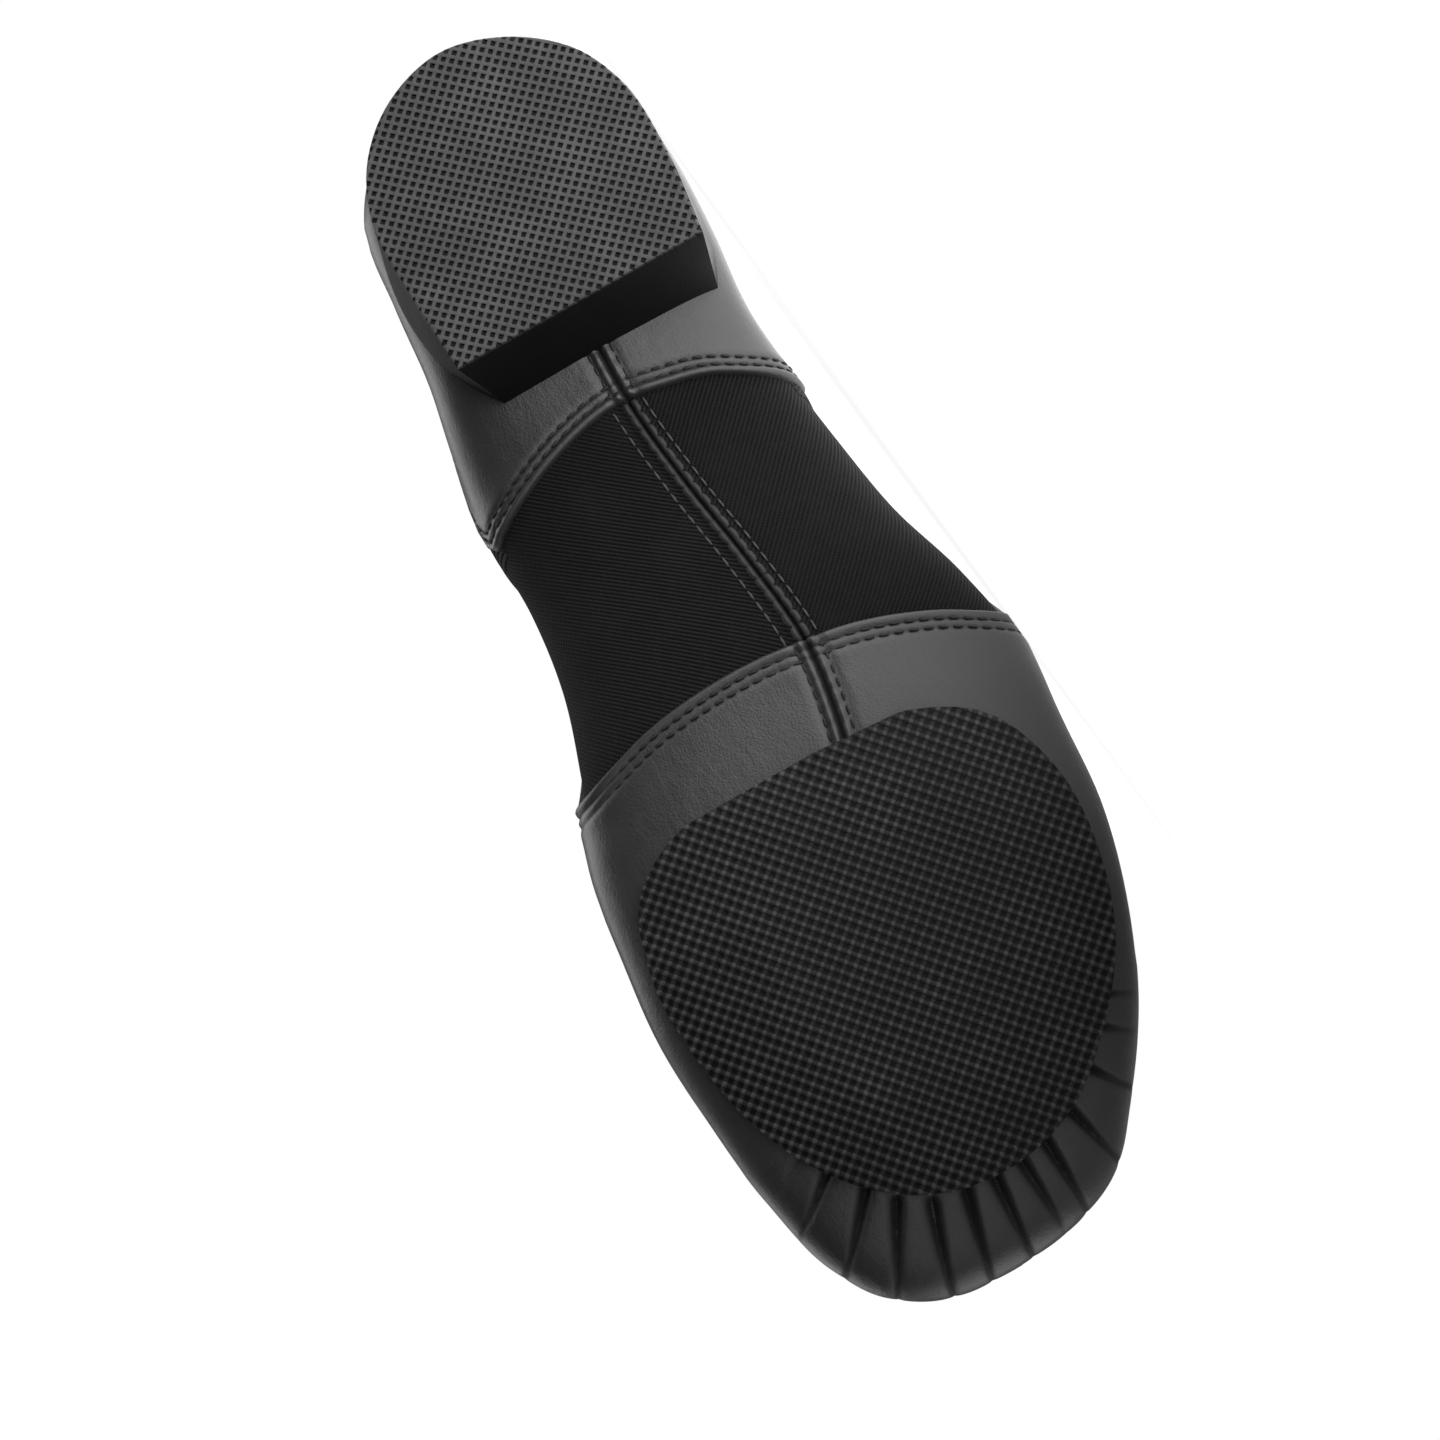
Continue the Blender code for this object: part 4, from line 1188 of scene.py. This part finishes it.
def weave_group():
    """Slanting ribs across a UV map in metres: height and a mask of the ribs' tops, which paints light on
    the tops and shade between them.
    """
    group, given, made = new_group(
        "ribbed weave", {"Pitch": 0.0008, "Angle": 0.0, "Twist": 0.3}, ("Height", "Tops"))

    def of(operation, first, second=0.0):
        return math_node(group, operation, first, second)

    uv = add_node(group, "ShaderNodeUVMap", uv_map="UVMap").outputs["UV"]
    split = add_node(group, "ShaderNodeSeparateXYZ", {0: uv}).outputs
    cosine, sine = of("COSINE", given["Angle"]), of("SINE", given["Angle"])
    across = of("SUBTRACT", of("MULTIPLY", split["X"], cosine), of("MULTIPLY", split["Y"], sine))
    along = of("ADD", of("MULTIPLY", split["X"], sine), of("MULTIPLY", split["Y"], cosine))
    turns = of("DIVIDE", 2 * math.pi, given["Pitch"])
    ribs = of("SINE", of("MULTIPLY", across, turns))
    threads = of("SINE", of("MULTIPLY", along, of("MULTIPLY", turns, 1.35)))
    connect(group, of("ADD", ribs, of("MULTIPLY", threads, given["Twist"])), made["Height"])
    connect(group, of("ADD", of("MULTIPLY", ribs, 0.5), 0.5), made["Tops"])
    return group


def dust_group():
    """Mask of faint dust and handling marks."""
    group, given, made = new_group("dust", {"Scale": 60.0}, ("Mask",))
    marks = noise(group, object_place(group), given["Scale"], 8.0, 0.7)
    connect(group, spread(group, marks, (0.45, 0.8), (0.0, 1.0)), made["Mask"])
    return group


def group_node(tree, group, **values):
    """Outputs of a shared group placed in a material with its own values."""
    node = add_node(tree, "ShaderNodeGroup", node_tree=group)
    for label, value in values.items():
        node.inputs[label.replace("_", " ")].default_value = value
    return node.outputs


def new_material(name, specular):
    """Material with a Principled shader and its specular level."""
    material = bpy.data.materials.new(name)
    material.use_nodes = True
    shader = material.node_tree.nodes["Principled BSDF"]
    shader.inputs["Specular IOR Level"].default_value = specular
    return material, material.node_tree, shader


def finish_surface(tree, shader, colour, roughness, height, depth):
    """Give a shader its colour, roughness and bump."""
    bump = add_node(tree, "ShaderNodeBump", {"Strength": 1.0, "Distance": depth, "Height": height})
    inputs = {"Base Color": colour, "Roughness": roughness, "Normal": bump.outputs["Normal"]}
    for label, value in inputs.items():
        connect(tree, value, shader.inputs[label])


def scaled(colour, share):
    """Colour made darker or lighter."""
    return tuple(part * share for part in colour)


def leather_material(groups):
    """Smooth black leather: fine grain, soft sheen, darker with painted shade and duller down in the folds,
    grooves and seam.
    """
    material, tree, shader = new_material("black leather", 0.55)
    colour = settings().leather_colour
    grain = group_node(tree, groups["grain"], Grain_size=0.0008, Grain=0.5, Crease=0.5)
    dust = group_node(tree, groups["dust"], Scale=70.0)["Mask"]
    # The fold mark both dulls the leather and paints shade in folds, grooves and the seam.
    fold = mark_value(tree, "fold")
    base = mix_colour(tree, grain["Mottle"], scaled(colour, 0.8), scaled(colour, 1.25))
    base = mix_colour(tree, math_node(tree, "MULTIPLY", dust, 0.35), base, scaled(colour, 2.4))
    # Painted shade: near black where the fold mark is high.
    base = mix_colour(tree, fold, base, scaled(colour, 0.05))
    dull = math_node(tree, "ADD", grain["Mottle"], math_node(tree, "MULTIPLY", fold, 2.0))
    roughness = spread(tree, dull, (0.0, 1.0), (0.36, 0.52), clamp=False)
    finish_surface(tree, shader, base, roughness, grain["Height"], 0.00018)
    return material


def cloth_material(name, groups, colour, pitch, degrees, twist, depth):
    """Ribbed cloth: slanting or straight ribs with a little fuzz, painted lighter on the ribs' tops and with
    painted shade between them.
    """
    material, tree, shader = new_material(name, 0.08)
    weave = group_node(tree, groups["weave"], Pitch=pitch, Angle=math.radians(degrees), Twist=twist)
    dust = math_node(tree, "MULTIPLY", group_node(tree, groups["dust"], Scale=110.0)["Mask"], 0.3)
    # Painted light and shade: the ribs' tops lighter, the hollows between them darker.
    ribs = mix_colour(tree, weave["Tops"], scaled(colour, 0.35), scaled(colour, 1.6))
    shader.inputs["Sheen Weight"].default_value = 0.03
    shader.inputs["Sheen Roughness"].default_value = 0.5
    base = mix_colour(tree, dust, ribs, scaled(colour, 2.6))
    finish_surface(tree, shader, base, 0.85, weave["Height"], depth)
    return material


def folded_material(groups, colour):
    """Cloth pressed into small folds, with painted shade down between them."""
    material, tree, shader = new_material("folded cloth", 0.3)
    dust = group_node(tree, groups["dust"], Scale=400.0)["Mask"]
    worn = mix_colour(tree, dust, colour, scaled(colour, 2.0))
    # Painted shade: the fold mark makes the cloth near black between the folds.
    base = mix_colour(tree, mark_value(tree, "fold"), worn, scaled(colour, 0.1))
    roughness = spread(tree, dust, (0.0, 1.0), (0.6, 0.8), clamp=False)
    finish_surface(tree, shader, base, roughness, dust, 0.0001)
    return material


def rubber_material(groups):
    """Matt black rubber with faint dust; painted shade makes the tread's pits and the sides of heel and sole
    near black, so the tops show lighter.
    """
    material, tree, shader = new_material("black rubber", 0.12)
    colour = settings().rubber_colour
    dust = group_node(tree, groups["dust"], Scale=90.0)["Mask"]
    worn = mix_colour(tree, dust, scaled(colour, 0.85), scaled(colour, 1.5))
    # Painted shade: the pit mark makes the tread's pits and the sides near black.
    base = mix_colour(tree, mark_value(tree, "pit"), worn, scaled(colour, 0.03))
    roughness = spread(tree, dust, (0.0, 1.0), (0.55, 0.7), clamp=False)
    finish_surface(tree, shader, base, roughness, noise(tree, object_place(tree), 1800.0, 3.0), 0.00005)
    return material


def thread_material(name, colour):
    """Sewing thread with fine fibres."""
    material, tree, shader = new_material(name, 0.3)
    fibres = noise(tree, object_place(tree), 2600.0, 2.0)
    base = mix_colour(tree, fibres, scaled(colour, 0.6), scaled(colour, 1.8))
    finish_surface(tree, shader, base, 0.6, fibres, 0.00006)
    return material


def make_materials():
    """All materials of the shoe, by name."""
    groups = {"grain": grain_group(), "weave": weave_group(), "dust": dust_group()}
    shoe = settings()
    twill, elastic, pitch = shoe.cloth_colour, shoe.elastic_colour, shoe.twill_pitch
    return {
        "leather": leather_material(groups),
        "twill_inner": cloth_material("stretch twill inner", groups, twill, pitch, -44.0, 0.25, 0.00012),
        "twill_outer": cloth_material("stretch twill outer", groups, twill, pitch, 44.0, 0.25, 0.00012),
        "folded": folded_material(groups, elastic),
        "elastic": cloth_material("ribbed elastic", groups, elastic, 0.0011, 20.0, 0.4, 0.0002),
        "lining": cloth_material("lining cloth", groups, shoe.lining_colour, 0.0009, 45.0, 1.0, 0.0001),
        "rubber": rubber_material(groups),
        "thread": thread_material("black thread", shoe.thread_colour),
        "worn_thread": thread_material("worn thread", shoe.worn_thread_colour),
    }


MATERIALS = {}


def material_named(name):
    """A material of the shoe, made when the first is asked for."""
    if not MATERIALS:
        MATERIALS.update(make_materials())
    return MATERIALS[name]


# Stage

CAMERA_PLACE = Vector((0.1869, 0.0077, -0.394))
CAMERA_RIGHT = Vector((0.48228, -0.87266, 0.07665))
CAMERA_DOWN = Vector((0.86692, 0.48802, 0.10144))
CAMERA_LENS = 55.0
SENSOR = 36.0


def add_camera():
    """Camera at the photograph's angle to the shoe."""
    data = bpy.data.cameras.new("camera")
    data.lens = CAMERA_LENS
    data.sensor_width = SENSOR
    data.clip_start = 0.01
    camera = bpy.data.objects.new("camera", data)
    bpy.context.scene.collection.objects.link(camera)
    turn = POSE.to_3x3()
    right = (turn @ CAMERA_RIGHT).normalized()
    up = (turn @ -CAMERA_DOWN).normalized()
    back = right.cross(up).normalized()
    up = back.cross(right)
    axes = Matrix((right, up, back)).transposed().to_4x4()
    camera.matrix_world = Matrix.Translation(POSE @ CAMERA_PLACE) @ axes
    bpy.context.scene.camera = camera


Softbox = namedtuple("Softbox", "place aim width height power")
SOFTBOXES = [Softbox(*row) for row in (
    ((1.3, -0.5, 0.18), (0.0, 0.0, 0.04), 0.9, 0.3, 1.2),
    ((-0.45, 0.6, 1.0), (-0.08, 0.0, 0.07), 0.7, 0.7, 3.0),
    ((0.72, 0.24, 1.12), (0.0, 0.0, 0.04), 1.2, 1.2, 13.0),
    ((-1.37, 0.3, 0.32), (0.0, 0.0, 0.04), 1.3, 0.9, 6.0),
    ((-0.75, -1.2, 0.25), (0.0, 0.0, 0.04), 1.0, 0.8, 2.7),
)]
ROOM_LIGHT = 0.04

# How bright the floor shows from near to far, and how brightly it lights the shoe from the heel's side
FLOOR_SEEN = (0.9, 1.0)
SEEN_SPAN = (0.25, 1.2)
FLOOR_GLOW = (0.1, 3.8)
GLOW_SPAN = (-0.09, 0.1)
GLOW_FADE = (0.2, 0.6)
GLOW_FAR = 0.15
GLOW_DIRECTION = (0.92, -0.39, 0.0)


def add_softbox(box):
    """Area light that looks at a point."""
    data = bpy.data.lights.new("softbox", "AREA")
    data.shape = "RECTANGLE"
    data.size, data.size_y = box.width, box.height
    data.energy = box.power
    light = bpy.data.objects.new("softbox", data)
    bpy.context.scene.collection.objects.link(light)
    aim = Vector(box.aim) - Vector(box.place)
    light.matrix_world = Matrix.Translation(box.place) @ aim.to_track_quat("-Z", "Y").to_matrix().to_4x4()


def add_floor():
    """Wide pale floor that glows: near white to the camera, and as a light on the shoe from the heel's side.
    """
    bpy.ops.object.select_all(action="DESELECT")
    bpy.ops.mesh.primitive_circle_add(vertices=96, radius=6.0, fill_type="NGON", location=(0, 0, 0))
    floor = bpy.context.object
    floor.name = "floor"
    material, tree, shader = new_material("pale floor", 0.2)
    shader.inputs["Base Color"].default_value = (0.5, 0.5, 0.5, 1.0)
    shader.inputs["Roughness"].default_value = 0.7
    shader.inputs["Emission Color"].default_value = (1.0, 1.0, 1.0, 1.0)
    place = object_place(tree)
    ahead = add_node(tree, "ShaderNodeVectorMath", {0: place, 1: GLOW_DIRECTION}, operation="DOT_PRODUCT")
    reach = add_node(tree, "ShaderNodeVectorMath", {0: place}, operation="LENGTH").outputs["Value"]
    glow = spread(tree, ahead.outputs["Value"], GLOW_SPAN, FLOOR_GLOW, interpolation_type="SMOOTHSTEP")
    fade = spread(tree, reach, GLOW_FADE, (1.0, GLOW_FAR), interpolation_type="SMOOTHSTEP")
    seen = add_node(tree, "ShaderNodeMix", {
        "Factor": add_node(tree, "ShaderNodeLightPath").outputs["Is Camera Ray"],
        "A": math_node(tree, "MULTIPLY", glow, fade),
        "B": spread(tree, reach, SEEN_SPAN, FLOOR_SEEN),
    }, data_type="FLOAT")
    connect(tree, seen.outputs["Result"], shader.inputs["Emission Strength"])
    floor.data.materials.append(material)


def set_world():
    """White surroundings that light the shoe less than they show."""
    world = bpy.data.worlds.new("white room")
    world.use_nodes = True
    tree = world.node_tree
    background = tree.nodes["Background"]
    background.inputs["Color"].default_value = (1.0, 1.0, 1.0, 1.0)
    seen = spread(tree, add_node(tree, "ShaderNodeLightPath").outputs["Is Camera Ray"],
                  (0.0, 1.0), (ROOM_LIGHT, 1.0))
    connect(tree, seen, background.inputs["Strength"])
    bpy.context.scene.world = world
    bpy.context.scene.view_settings.view_transform = "Standard"


# Operators


class JAZZ_OT_stage(bpy.types.Operator):
    """Camera, floor and soft lights"""
    bl_idname = "jazz_shoe.stage"
    bl_label = "Stage"

    def execute(self, context):
        add_camera()
        add_floor()
        set_world()
        for box in SOFTBOXES:
            add_softbox(box)
        return {"FINISHED"}


class JAZZ_OT_upper(bpy.types.Operator):
    """Leathers, stretch cloth, elastic gores and lining"""
    bl_idname = "jazz_shoe.upper"
    bl_label = "Upper"

    def execute(self, context):
        finish_piece(build_vamp(), material_named("leather"), "leather", "upper")
        finish_piece(build_quarter(), material_named("leather"), "leather", "upper")
        finish_piece(build_seam_folds(), material_named("folded"), "cloth", "upper")
        for side in SIDES:
            finish_piece(build_arch(side), material_named("twill_" + side), "cloth", "upper")
            finish_piece(build_gore(side), material_named("elastic"), "cloth", "upper")
        lining = plain_sheet("lining", 110, np.linspace(0, 2.0, 45), LINING, LINING, 60)
        finish_piece(lining, material_named("lining"), "cloth", "upper")
        return {"FINISHED"}


class JAZZ_OT_soles(bpy.types.Operator):
    """Heel and forefoot sole with their treads"""
    bl_idname = "jazz_shoe.soles"
    bl_label = "Heel and sole"

    def execute(self, context):
        tree = leather_tree()
        finish_piece(build_heel(tree), material_named("rubber"), "rubber", "heel")
        finish_piece(build_ball_sole(tree), material_named("rubber"), "rubber", "forefoot_sole")
        return {"FINISHED"}


class JAZZ_OT_insole(bpy.types.Operator):
    """Sheet on the bottom inside"""
    bl_idname = "jazz_shoe.insole"
    bl_label = "Insole"

    def execute(self, context):
        sheet = plain_sheet("insole_sheet", 90, np.linspace(0, 0.70, 18), -CLEARANCE, INSOLE, 50)
        finish_piece(sheet, material_named("lining"), "cloth", "insole")
        return {"FINISHED"}


class JAZZ_OT_trim(bpy.types.Operator):
    """Collar binding and all rows of stitches"""
    bl_idname = "jazz_shoe.trim"
    bl_label = "Binding and stitches"

    def execute(self, context):
        finish_piece(build_binding(), material_named("leather"), "leather", "upper")
        shoe = settings()
        sewn = ("thread", shoe.stitch_pitch, shoe.stitch_length, THREAD_WIDTH)
        worn = ("worn_thread", shoe.stitch_pitch, shoe.stitch_pitch * 0.86, WORN_THREAD_WIDTH)
        seam = dict.fromkeys(SIDES, SEAM_ROW * MM)
        vamp_rows = edge_rows("vamp", 1) + seam_rows(0.540, 0.615, seam, SEAM_STITCH_LIFT)
        quarter_rows = edge_rows("quarter", -1) + seam_rows(0.24, 0.296, seam, SEAM_STITCH_LIFT)
        arch_rows = seam_rows(*FOLD_SPAN, ARCH_ROWS, CLOTH + 0.02 * MM)
        for name, rows, (thread, *sizes) in (("stitches_vamp", vamp_rows, sewn),
                                             ("stitches_quarter", quarter_rows, sewn),
                                             ("stitches_arch", arch_rows, worn)):
            finish_piece(lay_stitches(name, rows, *sizes), material_named(thread), "cloth", "upper")
        return {"FINISHED"}


class JAZZ_PT_panel(bpy.types.Panel):
    """Lists the shoe's pieces"""
    bl_label = "Jazz Shoe"
    bl_idname = "JAZZ_PT_panel"
    bl_space_type = "VIEW_3D"
    bl_region_type = "UI"
    bl_category = "Jazz Shoe"

    def draw(self, context):
        for name in JazzShoeSettings.__annotations__:
            self.layout.prop(context.scene.jazz_shoe, name)
        for operator in OPERATORS:
            self.layout.operator(operator.bl_idname)


OPERATORS = (JAZZ_OT_stage, JAZZ_OT_upper, JAZZ_OT_soles, JAZZ_OT_insole, JAZZ_OT_trim)
CLASSES = (JazzShoeSettings, *OPERATORS, JAZZ_PT_panel)


def register():
    """Register the classes and the settings."""
    for item in CLASSES:
        bpy.utils.register_class(item)
    bpy.types.Scene.jazz_shoe = PointerProperty(type=JazzShoeSettings)


def unregister():
    """Take the settings and the classes away."""
    del bpy.types.Scene.jazz_shoe
    for item in reversed(CLASSES):
        bpy.utils.unregister_class(item)


def main():
    """Make the stage and all pieces."""
    register()
    bpy.ops.jazz_shoe.stage()
    bpy.ops.jazz_shoe.upper()
    bpy.ops.jazz_shoe.soles()
    bpy.ops.jazz_shoe.insole()
    bpy.ops.jazz_shoe.trim()


if __name__ == "__main__":
    main()
